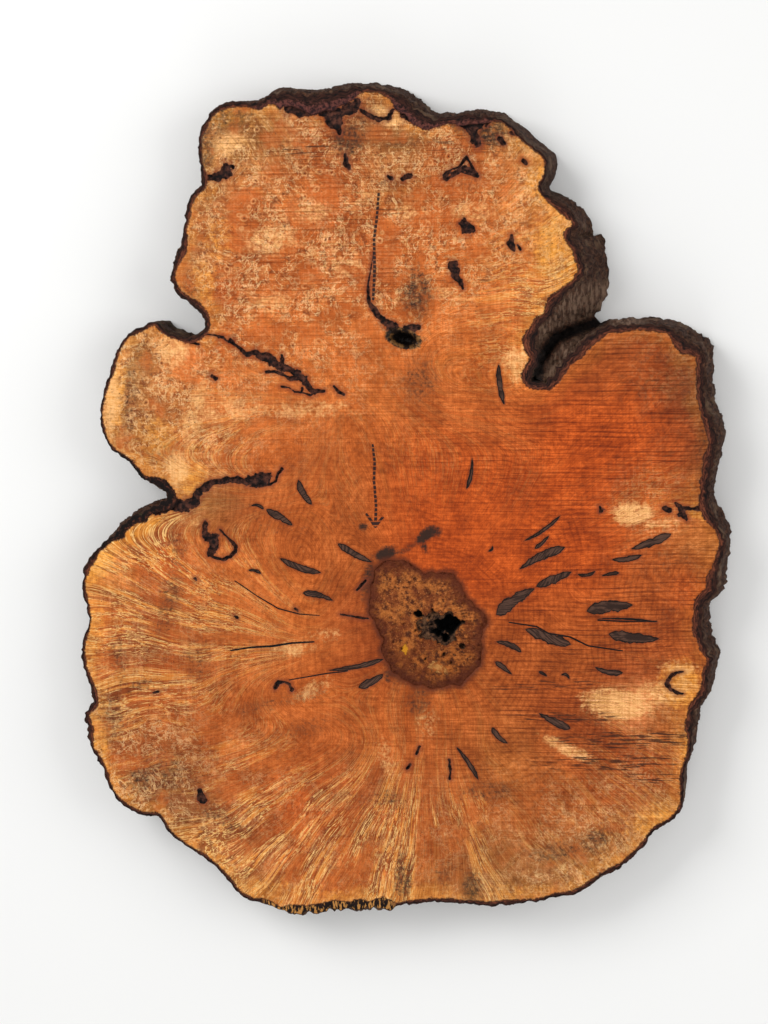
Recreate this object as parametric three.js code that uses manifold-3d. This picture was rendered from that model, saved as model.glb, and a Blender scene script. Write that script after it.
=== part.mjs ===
// A slab sawn across a maple burl: two flat sawn faces and the natural bark edge all round.
// Millimetres, +Z up. The slab lies on its back face, and the origin is under its middle.

import * as THREE from 'three';
import { mergeVertices } from 'three/addons/utils/BufferGeometryUtils.js';
import Module from 'manifold-3d';

// Driving dimensions
const thickness = 76;            // a three-inch slab
const slant = { x: 7, y: 5 };    // the trunk's axis leans, so the back outline is shifted
const wallRows = 4;              // bands of faces up the bark edge
const stepsPerPoint = 3;         // curve steps between two outline points
const swell = 0.45;              // how far the wall swells at mid height, as a share of its lean
const mostSwell = 4;             // and the most it swells

// The outline of the front face, bark included, clockwise from the top left.
// Each row is x, y and lean: how far the bark edge runs outward on its way down to the back face.
const topLobe = [
  [-202, 594, 4], [-190, 602, 6], [-140, 600, 8], [-96, 604, 8], [-50, 610, 8], [-14, 600, 8],
  [14, 584, 8], [36, 566, 6], [86, 566, 6], [132, 568, 6], [158, 552, 6], [182, 528, 8],
  [210, 506, 8], [210, 480, 6], [202, 460, 4], [222, 444, 8], [248, 424, 12], [256, 406, 16],
];
const topLobeFlank = [
  [244, 392, 28], [254, 376, 34], [264, 358, 30], [266, 342, 28], [260, 328, 38], [246, 312, 48],
  [226, 292, 46], [210, 268, 38], [196, 248, 24],
];
const fork = [
  [192, 234, 12], [202, 214, 4], [192, 196, 0], [192, 182, 0], [204, 178, 0], [218, 192, 0],
  [234, 210, 0],
];
const rightLobe = [
  [254, 230, 0], [274, 248, 2], [296, 260, 4], [322, 262, 6], [366, 262, 8], [390, 256, 10],
  [416, 238, 14], [440, 222, 14],
];
const rightFlank = [
  [440, 196, 10], [442, 164, 10], [446, 140, 10], [456, 118, 8], [460, 92, 6], [456, 72, 6],
  [448, 40, 6], [446, 20, 6], [446, 2, 8], [454, -14, 8], [462, -30, 8], [472, -48, 6],
  [470, -70, 6], [462, -94, 8], [460, -128, 10], [446, -140, 8], [440, -158, 6], [440, -182, 6],
  [446, -206, 6], [456, -226, 6], [450, -244, 6], [446, -276, 4], [432, -298, 4], [428, -320, 4],
  [424, -364, 2], [416, -386, 0], [414, -404, 0], [414, -430, 0],
];
const lowerRight = [
  [410, -448, 0], [396, -464, 0], [370, -480, -2], [356, -502, -4], [336, -522, -4],
  [322, -534, -4], [302, -544, -4], [276, -562, -6], [256, -574, -6], [228, -580, -6],
  [202, -588, -6],
];
const bottomEdge = [
  [172, -590, -6], [128, -594, -6], [68, -590, -6], [20, -594, -6], [-22, -600, -6],
  [-84, -604, -6], [-130, -608, -6], [-158, -610, -6], [-184, -604, -6], [-206, -594, -6],
  [-226, -592, -6],
];
const lowerLeftLobe = [
  [-246, -578, -6], [-266, -554, -8], [-292, -530, -8], [-324, -510, -8], [-348, -492, -8],
  [-358, -476, -6], [-364, -466, -4], [-384, -466, -6], [-410, -456, -8], [-428, -440, -8],
  [-440, -420, -8], [-446, -398, -8], [-460, -376, -8], [-468, -354, -8], [-470, -332, -8],
  [-474, -312, -8], [-462, -298, -6], [-462, -282, -6], [-472, -252, -8], [-478, -232, -8],
  [-476, -206, -8], [-468, -180, -8], [-470, -156, -8], [-476, -124, -8], [-472, -98, -8],
  [-458, -74, -6], [-440, -54, -4], [-418, -32, -2], [-392, -14, 0],
];
const waist = [
  [-366, -2, 0], [-346, 6, 0], [-354, 20, 0],
];
const leftLobe = [
  [-370, 30, -2], [-388, 40, -4], [-404, 62, -6], [-430, 78, -8], [-444, 106, -8],
  [-448, 138, -8], [-440, 172, -8], [-430, 200, -6], [-420, 230, -4], [-406, 250, -2],
  [-384, 260, 0], [-364, 268, 0], [-354, 258, 0], [-332, 248, 0], [-314, 244, 0],
];
const shoulder = [
  [-298, 250, 0], [-290, 262, 0], [-294, 278, 0],
];
const topLobeLeft = [
  [-304, 288, 0], [-320, 298, -2], [-334, 312, -4], [-342, 326, -6], [-342, 342, -6],
  [-334, 362, -6], [-326, 382, -6], [-320, 420, -6], [-310, 452, -4], [-294, 470, -2],
  [-298, 498, -2], [-300, 528, -4], [-294, 552, -4], [-274, 580, -2], [-244, 588, 2],
  [-220, 588, 4],
];

// Blind holes in the front face: middle, half width along x and y, depth and turn in degrees.
const pits = [
  { name: 'hollow in the rotten heart', x: 65, y: -186, rx: 27, ry: 24, depth: 50, turn: 20 },
  { name: 'knot hole in the top lobe', x: 2, y: 242, rx: 24, ry: 13, depth: 30, turn: -15 },
  { name: 'bark pocket in the top lobe', x: -266, y: 488, rx: 18, ry: 10, depth: 16, turn: 10 },
];
const pitSides = 20;
const pitRagged = 0.14;          // how uneven a pit's wall is, as a share of its radius

// Bark grown across the throat of the fork. It starts just above the back face, reaches nearly up
// to the front face at the throat's end and slopes away on its way out.
const web = {
  outline: [
    [196, 184], [214, 176], [246, 212], [276, 244], [292, 266], [262, 300], [236, 300],
    [204, 262], [186, 232],
  ],
  low: 5,
  high: 70,
  fall: 0.32,                    // how much lower its top is for each millimetre outward
};

const clockwise = [
  ...topLobe, ...topLobeFlank, ...fork, ...rightLobe, ...rightFlank, ...lowerRight,
  ...bottomEdge, ...lowerLeftLobe, ...waist, ...leftLobe, ...shoulder, ...topLobeLeft,
];
const rim = clockwise.reverse().map(([x, y, lean]) => ({ place: new THREE.Vector3(x, y, 0), lean }));

// Counter-clockwise round the slab, outward is to the right of the way along the rim.
function outwardAt(index) {
  const before = rim[(index + rim.length - 1) % rim.length].place;
  const after = rim[(index + 1) % rim.length].place;
  const along = new THREE.Vector3().subVectors(after, before).normalize();
  return new THREE.Vector3(along.y, -along.x, 0);
}

// One closed curve round the slab at a height from 0, the back face, to 1, the front face.
function ringAt(height) {
  const points = rim.map(({ place, lean }, index) => {
    const down = 1 - height;
    const belly = Math.min(swell * Math.abs(lean), mostSwell) * Math.sin(Math.PI * height);
    const point = place.clone().addScaledVector(outwardAt(index), lean * down + belly);
    point.x += slant.x * down;
    point.y += slant.y * down;
    return point;
  });
  const curve = new THREE.CatmullRomCurve3(points, true, 'centripetal');
  const steps = rim.length * stepsPerPoint;
  const ring = [];
  for (let step = 0; step < steps; step += 1) {
    const point = curve.getPoint(step / steps);
    ring.push(new THREE.Vector3(point.x, point.y, height * thickness));
  }
  return ring;
}

// The slab as one closed mesh: rings joined into the bark edge, and two flat sawn faces.
function slabGeometry() {
  const rings = [];
  for (let row = 0; row <= wallRows; row += 1) rings.push(ringAt(row / wallRows));
  const count = rings[0].length;
  const faces = [];
  for (let row = 0; row < wallRows; row += 1) {
    for (let step = 0; step < count; step += 1) {
      const next = (step + 1) % count;
      const low = row * count;
      const high = low + count;
      faces.push(low + step, low + next, high + next);
      faces.push(low + step, high + next, high + step);
    }
  }
  const top = wallRows * count;
  const flat = (ring) => ring.map((point) => new THREE.Vector2(point.x, point.y));
  for (const [a, b, c] of THREE.ShapeUtils.triangulateShape(flat(rings[0]), [])) {
    faces.push(a, c, b);
  }
  for (const [a, b, c] of THREE.ShapeUtils.triangulateShape(flat(rings[wallRows]), [])) {
    faces.push(top + a, top + b, top + c);
  }
  const geometry = new THREE.BufferGeometry().setFromPoints(rings.flat());
  geometry.setIndex(faces);
  return geometry;
}

// A pit is a turned bowl with an uneven wall, standing a little above the front face.
function pitGeometry({ x, y, rx, ry, depth, turn }) {
  const above = 4;
  const profile = [
    [0, -depth], [0.45, -depth * 0.96], [0.72, -depth * 0.7], [0.82, -depth * 0.35],
    [1, 0], [1.05, above], [0, above],
  ].map(([radius, height]) => new THREE.Vector2(radius, height));
  const bowl = new THREE.LatheGeometry(profile, pitSides);
  bowl.rotateX(Math.PI / 2);
  const places = bowl.getAttribute('position');
  for (let index = 0; index < places.count; index += 1) {
    const angle = Math.atan2(places.getY(index), places.getX(index));
    const wave = Math.sin(3 * angle + x) + 0.6 * Math.sin(5 * angle + y);
    const stretch = 1 + pitRagged * wave;
    places.setX(index, places.getX(index) * stretch * rx);
    places.setY(index, places.getY(index) * stretch * ry);
  }
  bowl.rotateZ(THREE.MathUtils.degToRad(turn));
  bowl.translate(x, y, thickness);
  return bowl;
}

// The web of bark as a prism whose top slopes away from the throat's end.
function webGeometry({ outline, low, high, fall }) {
  const shape = new THREE.Shape(outline.map(([x, y]) => new THREE.Vector2(x, y)));
  const prism = new THREE.ExtrudeGeometry(shape, { depth: 1, bevelEnabled: false });
  const places = prism.getAttribute('position');
  const [endX, endY] = outline[0];
  for (let index = 0; index < places.count; index += 1) {
    const outward = Math.hypot(places.getX(index) - endX, places.getY(index) - endY);
    places.setZ(index, places.getZ(index) < 0.5 ? low : high - fall * outward);
  }
  return prism;
}

// manifold-3d joins the web to the slab and cuts the pits.
const wasm = await Module();
wasm.setup();

function toSolid(geometry) {
  const bare = geometry.clone();
  bare.deleteAttribute('normal');
  bare.deleteAttribute('uv');
  const merged = mergeVertices(bare, 1e-4);
  return new wasm.Manifold(new wasm.Mesh({
    numProp: 3,
    vertProperties: new Float32Array(merged.getAttribute('position').array),
    triVerts: new Uint32Array(merged.getIndex().array),
  }));
}

function toGeometry(solid) {
  const mesh = solid.getMesh();
  const geometry = new THREE.BufferGeometry();
  geometry.setAttribute('position', new THREE.BufferAttribute(mesh.vertProperties, 3));
  geometry.setIndex(new THREE.BufferAttribute(mesh.triVerts, 1));
  return geometry;
}

let burl = toSolid(slabGeometry()).add(toSolid(webGeometry(web)));
for (const pit of pits) burl = burl.subtract(toSolid(pitGeometry(pit)));

const geometry = toGeometry(burl);
geometry.computeBoundingBox();
const middle = geometry.boundingBox.getCenter(new THREE.Vector3());
geometry.translate(-middle.x, -middle.y, 0);
geometry.computeVertexNormals();

const sawnWood = new THREE.MeshStandardMaterial({ color: 0xb5642a, roughness: 0.5, metalness: 0 });
const mapleBurl = new THREE.Mesh(geometry, sawnWood);
mapleBurl.name = 'maple_burl';

const group = new THREE.Group();
group.add(mapleBurl);
export default group;
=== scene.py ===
# %% [markdown]
# # A slab of maple burl
# A burl is a knotty swelling on a trunk. Sawn across, it gives a lobed slab with bark all round and a
# wild figure on its face. This lesson builds one around a plain solid that fixes its size, in metres.

import bmesh
import bpy
import numpy as np
from mathutils import Matrix, Vector, noise
from mathutils.kdtree import KDTree


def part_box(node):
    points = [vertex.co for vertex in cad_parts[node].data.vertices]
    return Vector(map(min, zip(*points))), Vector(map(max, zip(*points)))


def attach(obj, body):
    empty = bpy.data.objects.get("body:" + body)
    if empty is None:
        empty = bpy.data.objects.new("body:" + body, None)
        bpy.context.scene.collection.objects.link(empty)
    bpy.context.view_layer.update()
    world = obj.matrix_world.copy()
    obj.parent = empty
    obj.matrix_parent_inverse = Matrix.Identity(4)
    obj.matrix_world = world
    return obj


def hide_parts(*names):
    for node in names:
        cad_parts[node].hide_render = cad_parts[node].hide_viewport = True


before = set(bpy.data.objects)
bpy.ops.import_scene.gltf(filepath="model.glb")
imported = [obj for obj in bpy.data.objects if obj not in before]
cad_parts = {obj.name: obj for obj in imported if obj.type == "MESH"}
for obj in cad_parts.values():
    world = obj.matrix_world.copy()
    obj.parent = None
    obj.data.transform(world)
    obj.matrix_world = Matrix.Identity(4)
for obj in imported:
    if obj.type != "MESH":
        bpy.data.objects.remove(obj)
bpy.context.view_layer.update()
low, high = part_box("maple_burl")
size = high - low
mm = size.y / 1233                     # one millimetre, on a slab that is 1233 mm long
front_z = high.z
pith = Vector((low.x + 0.5356 * size.x, low.y + 0.3544 * size.y, front_z))
print("slab", [round(side, 3) for side in size], "pith", [round(place, 3) for place in pith])


def spot(x, y):
    """A place on the face, given in millimetres right of and above the pith."""
    return np.array((pith.x + x * mm, pith.y + y * mm))


# %% [markdown]
# ## The outline
# The bark edge is what makes a live-edge slab. The solid already holds it, once on the front face and
# once on the back, so the loops are read from its rim edges instead of being drawn again. Both are
# resampled at an even step, with matching stations, so that bark and wood can share them.

# %% Read the two rim loops
def walk(linked):
    """One closed loop of vertices from a map of vertex to its two neighbours."""
    start = next(iter(linked))
    loop = [start]
    after = linked[start][0]
    while after is not start:
        before = loop[-1]
        loop.append(after)
        one, other = linked[after]
        after = other if one is before else one
    for vert in loop:
        del linked[vert]
    return loop


def rim_loop(height):
    """The solid's outer rim at a height, counter-clockwise, as rows of x and y."""
    solid = bmesh.new()
    solid.from_mesh(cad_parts["maple_burl"].data)
    bmesh.ops.remove_doubles(solid, verts=solid.verts, dist=1e-6)
    solid.normal_update()
    linked = {}
    for edge in solid.edges:
        level = all(abs(vert.co.z - height) < 1e-5 for vert in edge.verts)
        flat = sum(abs(face.normal.z) > 0.999 for face in edge.link_faces)
        if level and flat == 1:
            for vert in edge.verts:
                linked.setdefault(vert, []).append(edge.other_vert(vert))
    loops = []
    while linked:
        loops.append([vert.co.xy[:] for vert in walk(linked)])
    solid.free()
    loop = np.array(max(loops, key=len))
    after = np.roll(loop, -1, axis=0)
    area = np.sum(loop[:, 0] * after[:, 1] - after[:, 0] * loop[:, 1])
    return loop if area > 0 else loop[::-1]


front_rim = rim_loop(high.z)
back_rim = rim_loop(low.z)
turns = [np.sum((np.roll(back_rim, turn, axis=0) - front_rim) ** 2) for turn in range(len(back_rim))]
back_rim = np.roll(back_rim, int(np.argmin(turns)), axis=0)
print("rim points", len(front_rim), len(back_rim))

# %% [markdown]
# ## Stations round the slab
# Measured points lie unevenly, but a band of bark needs even ones. Both loops are cut again at stations
# 3 mm apart along the front rim, so each station on the back is the partner of one on the front. A light
# smoothing takes off the corners.

# %% Resample them in step
STATION = 3.0 * mm                     # distance between stations round the slab


def even_steps(loops, step):
    """The same even parameter on each closed loop, measured along the first one."""
    closed = [np.vstack([loop, loop[:1]]) for loop in loops]
    lengths = np.linalg.norm(np.diff(closed[0], axis=0), axis=1)
    along = np.concatenate([[0], np.cumsum(lengths)])
    count = 2 * int(along[-1] / step / 2)
    wanted = np.arange(count) * along[-1] / count
    result = []
    for loop in closed:
        even = np.column_stack([np.interp(wanted, along, loop[:, axis]) for axis in (0, 1)])
        for _ in range(2):
            even = 0.25 * np.roll(even, 1, axis=0) + 0.5 * even + 0.25 * np.roll(even, -1, axis=0)
        result.append(even)
    return result


def outward_of(loop, reach):
    """Unit vectors out of a counter-clockwise loop, from neighbours this many stations away."""
    along = np.roll(loop, -reach, axis=0) - np.roll(loop, reach, axis=0)
    along /= np.linalg.norm(along, axis=1)[:, None]
    return np.column_stack([along[:, 1], -along[:, 0]])


waist_tip = spot(-384, 179)            # the seam of the ring hides in this notch
start = int(np.argmin(np.linalg.norm(front_rim - waist_tip, axis=1)))
front, back = even_steps([np.roll(front_rim, -start, axis=0), np.roll(back_rim, -start, axis=0)], STATION)
outward = outward_of(front, 4)
stations = len(front)
print("stations", stations)

# %% [markdown]
# ## How thick the bark is
# Burl bark is thin over the golden lobes, thick on the right flank, and packed deep in the notches where
# two lobes press together. A short list of places with a depth is blended round the rim.

# %% Bark depth at each station
BARK_DEPTHS = [                        # right of the pith, above it, depth of bark, in millimetres
    (-262, 745, 6), (-236, 762, 12), (-215, 768, 20), (-186, 768, 24), (-152, 770, 26),
    (-120, 772, 22), (-96, 782, 10), (-60, 785, 8), (-38, 778, 14), (-16, 768, 22), (6, 754, 22),
    (26, 742, 10), (52, 740, 14), (90, 740, 12), (120, 724, 5), (150, 718, 4), (175, 660, 4),
    (210, 600, 9), (222, 545, 9), (190, 470, 12), (160, 410, 15), (155, 360, 13), (200, 395, 16),
    (260, 430, 10), (330, 438, 8), (392, 404, 15), (408, 320, 14), (420, 240, 13), (412, 180, 12),
    (430, 120, 9), (425, 40, 15), (402, -10, 16), (418, -60, 8), (400, -130, 11), (380, -200, 5),
    (370, -270, 4), (310, -350, 5), (200, -410, 5), (60, -420, 5), (-30, -428, 6), (-70, -430, 13),
    (-130, -432, 14), (-190, -432, 12), (-230, -422, 5), (-300, -380, 4), (-390, -300, 4),
    (-470, -260, 5), (-500, -220, 5), (-510, -160, 8), (-510, -60, 5), (-512, 30, 4),
    (-490, 90, 7), (-440, 150, 14), (-400, 172, 13), (-420, 230, 4), (-480, 300, 3.5),
    (-470, 380, 4), (-410, 435, 5), (-350, 420, 7), (-330, 450, 8), (-370, 490, 8),
    (-375, 540, 8), (-350, 620, 6), (-335, 690, 5), (-310, 745, 5),
]


def bark_depth(places):
    """Depth of bark at each place on the rim, in metres, from the listed depths near it."""
    known = np.array([spot(x, y) for x, y, _ in BARK_DEPTHS])
    depths = np.array([depth for *_, depth in BARK_DEPTHS]) * mm
    apart = np.linalg.norm(places[:, None] - known[None], axis=2) / (28 * mm)
    weight = 1 / (0.05 + apart ** 4)
    return (weight * depths).sum(axis=1) / weight.sum(axis=1)


def cloud(places, lump, seed=0, octaves=3):
    """Smooth noise of about -1 to 1 at each place. lump is the width of one lump, in metres."""
    shift = Vector((seed * 13.7, seed * 5.3, seed * 9.1))
    return np.array([
        noise.fractal(Vector(place) / lump + shift, 0.9, 2.0, octaves) for place in places
    ])


def flat_places(places, height):
    """Rows of x, y at one height, as rows of x, y, z."""
    return np.column_stack([places, np.full(len(places), height)])


depth = bark_depth(front)
depth *= 1 + 0.45 * cloud(flat_places(front, front_z), 26 * mm, seed=1)
print("bark from", round(depth.min() / mm, 1), "to", round(depth.max() / mm, 1), "mm")

# %% [markdown]
# ## A ring of bark
# The bark is a closed band: a rough outer wall, a cut rim on each sawn face and a hidden inner wall.
# A grid has just the right faces, so one is rolled up both ways, round the slab and round the band's
# own section, and its two seams are merged. Ridges run up and down the wall as they did on the trunk.

# %% Shape the outer wall
WALL_STEPS = 25                        # faces up the outer wall
RIM_STEPS = 6                          # faces across each cut rim
CUT_BACK = 0.7 * mm                    # the rim lies this far under the sawn wood
LIP = 1.6 * mm                         # how far the bark reaches in under the wood's edge
BELLY = 2.0 * mm                       # swell of the wall at mid height


def wall_rows():
    """The outer wall as an array of stations by rows by x, y, z, with its lumps and ridges."""
    rise = np.linspace(0, 1, WALL_STEPS + 1)
    plan = back[:, None] + (front - back)[:, None] * rise[None, :, None]
    height = np.broadcast_to(low.z + rise * size.z, plan.shape[:2])
    smooth = np.dstack([plan, height])
    flat = smooth.reshape(-1, 3)
    along_trunk = flat * np.array((1, 1, 0.35))
    knobs = cloud(flat, 45 * mm, seed=2)
    ridges = np.abs(cloud(along_trunk, 13 * mm, seed=3, octaves=2))
    crumbs = cloud(flat, 6 * mm, seed=4)
    push = 3.2 * knobs + 2.2 - 7.5 * ridges + 1.2 * crumbs
    strength = np.clip(depth / (9 * mm), 0.35, 1.15)
    push = push.reshape(height.shape) * mm * strength[:, None]
    push += BELLY * np.sin(np.pi * rise)[None] * strength[:, None]
    push = np.maximum(push, -0.55 * depth[:, None])
    smooth[..., :2] += outward[:, None] * push[..., None]
    return smooth


wall = wall_rows()
wood_front = front - outward * depth[:, None]
wood_back = back - outward * depth[:, None]
print("wall", wall.shape)


# %% [markdown]
# ## A band from one grid
# The wall, the sawn rims and the hidden inner side are one closed skin. A flat grid is made once, each of
# its points is sent to its place round the slab, and the opposite sides are merged, so nothing has to be
# patched. The sawn rim lies a little low and is gritty, because bark crumbles under the saw.

# %% Roll the grid into the band
def ring_places():
    """Every place of the band: up the wall, over the front rim, down inside, under the back rim."""
    inner_front = wood_front - outward * LIP
    inner_back = wood_back - outward * LIP
    grit = cloud(flat_places(front, front_z), 5 * mm, seed=5, octaves=2) * 0.5 * mm
    columns = [wall[:, row] for row in range(WALL_STEPS + 1)]
    for step in range(1, RIM_STEPS + 1):
        share = step / RIM_STEPS
        plan = wall[:, -1, :2] * (1 - share) + inner_front * share
        sunk = front_z - CUT_BACK + grit * (1 - share)
        columns.append(np.column_stack([plan, sunk]))
    columns[WALL_STEPS][:, 2] -= 2.2 * mm
    for step in range(RIM_STEPS):
        share = step / RIM_STEPS
        plan = inner_back * (1 - share) + wall[:, 0, :2] * share
        columns.append(flat_places(plan, low.z + CUT_BACK * (1 - share)))
    return np.stack(columns, axis=1)


def rolled_grid(places):
    """A closed band from an array of places: a grid whose opposite sides are then merged."""
    around, section = places.shape[:2]
    band = bmesh.new()
    bmesh.ops.create_grid(band, x_segments=around, y_segments=section, size=0.5)
    for vert in band.verts:
        column = round((vert.co.x + 0.5) * around) % around
        row = round((vert.co.y + 0.5) * section) % section
        vert.co = places[column, row]
    return band


ring = ring_places()
bark_mesh = rolled_grid(ring)
for face in bark_mesh.faces:
    face.smooth = True
bmesh.ops.remove_doubles(bark_mesh, verts=bark_mesh.verts, dist=1e-7)
if bark_mesh.calc_volume(signed=True) < 0:
    bmesh.ops.reverse_faces(bark_mesh, faces=bark_mesh.faces)
print("bark faces", len(bark_mesh.faces), "litres", round(bark_mesh.calc_volume() * 1000, 2))


# %% [markdown]
# ## Pieces from meshes
# A finished mesh becomes an object at the origin. It is tied to the part's one body and stands in for
# the plain solid, which is then not shown.

# %% Make a piece
def make_piece(name, shape, materials):
    """A named object from a bmesh, riding on the part's body in place of the plain solid."""
    mesh = bpy.data.meshes.new(name)
    shape.to_mesh(mesh)
    shape.free()
    piece = bpy.data.objects.new(name, mesh)
    bpy.context.scene.collection.objects.link(piece)
    for material in materials:
        mesh.materials.append(material)
    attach(piece, "root")
    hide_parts("maple_burl")
    print(name, "triangles", sum(len(face.vertices) - 2 for face in mesh.polygons))


# %% [markdown]
# ## What lies in the wood
# The face isn't plain wood. Dark lens-shaped pockets of bark point at the pith, seams of bark run in
# from the notches, knots and a knot hole sit in the top lobe, and the heart has rotted out. Each is
# listed once, in millimetres from the pith, and used twice: to sink the surface and to colour it.

# %% Bark pockets, by bearing from the pith
POCKETS = [                            # bearing, distance, length, width, turn from the radius
    (134, 263, 42, 11, -15), (145, 267, 45, 12, 4), (146, 303, 20, 5, 20), (137, 147, 58, 11, 15),
    (157, 205, 64, 11, 4), (164, 266, 20, 5, 2), (167, 166, 46, 10, -1), (-148, 125, 84, 8, -20),
    (-133, 122, 42, 13, -18), (39, 217, 64, 6, -4), (35, 205, 28, 6, 8), (30, 193, 74, 14, -4),
    (19, 196, 56, 14, 4), (17, 244, 26, 6, -6), (15, 277, 26, 6, -4), (14, 132, 68, 20, 21),
    (20, 348, 62, 13, 1), (18, 307, 44, 9, -9), (5, 268, 68, 20, 3), (1, 293, 86, 3, -4),
    (-4, 303, 74, 17, -1), (-7, 178, 70, 18, -11), (-16, 125, 40, 9, -6), (-31, 131, 31, 8, -6),
    (-15, 275, 42, 9, 4), (-24, 186, 14, 5, -6), (-21, 218, 14, 5, -6), (-38, 237, 52, 12, 12),
    (-58, 199, 33, 9, 13), (-74, 217, 58, 7, 18), (73, 364, 60, 9, 25), (74, 227, 46, 6, 6),
    (49, 142, 10, 4, 0), (33, 303, 10, 4, 0),
]


def on_slab(values):
    """Millimetres from the pith for rows of x, y in metres."""
    return (values - np.array(pith.xy)) / mm


def rag_of(places):
    """How far torn edges wander at each place, about -1 to 1, from lumps of 9 mm and smaller."""
    return cloud(np.column_stack([places, np.zeros(len(places))]), 9, seed=11, octaves=4)


def pocket_distance(places, rag):
    """Millimetres to the nearest bark pocket's edge, and below 0 inside. Pockets are bent lenses."""
    nearest = np.full(len(places), 99.0)
    for index, (bearing, distance, length, width, turn) in enumerate(POCKETS):
        fatter, bend = 0.9 * np.sin(2.4 * index), 3.5 * np.cos(1.7 * index)
        angle = np.radians(bearing)
        middle = distance * np.array((np.cos(angle), np.sin(angle)))
        lie = angle + np.radians(turn)
        offset = places - middle
        along = offset @ np.array((np.cos(lie), np.sin(lie))) / (length / 2)
        aside = offset @ np.array((-np.sin(lie), np.cos(lie))) + bend * (along ** 2 - 0.4)
        half = width / 2 * (1 - along ** 4) * (0.8 + 0.4 * fatter * along + 0.28 * rag)
        past = np.hypot((np.abs(along) - 1) * length / 2, aside)
        nearest = np.minimum(nearest, np.where(np.abs(along) < 1, np.abs(aside) - half, past))
    return nearest


# %% [markdown]
# ## Lines in the wood
# Where lobes grew together, bark was caught between them as a seam. Each seam is a route of points with a
# half width at each, so it can swell and pinch. Cracks and crayon strokes are routes too, so one function
# measures the distance to any of them.

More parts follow.
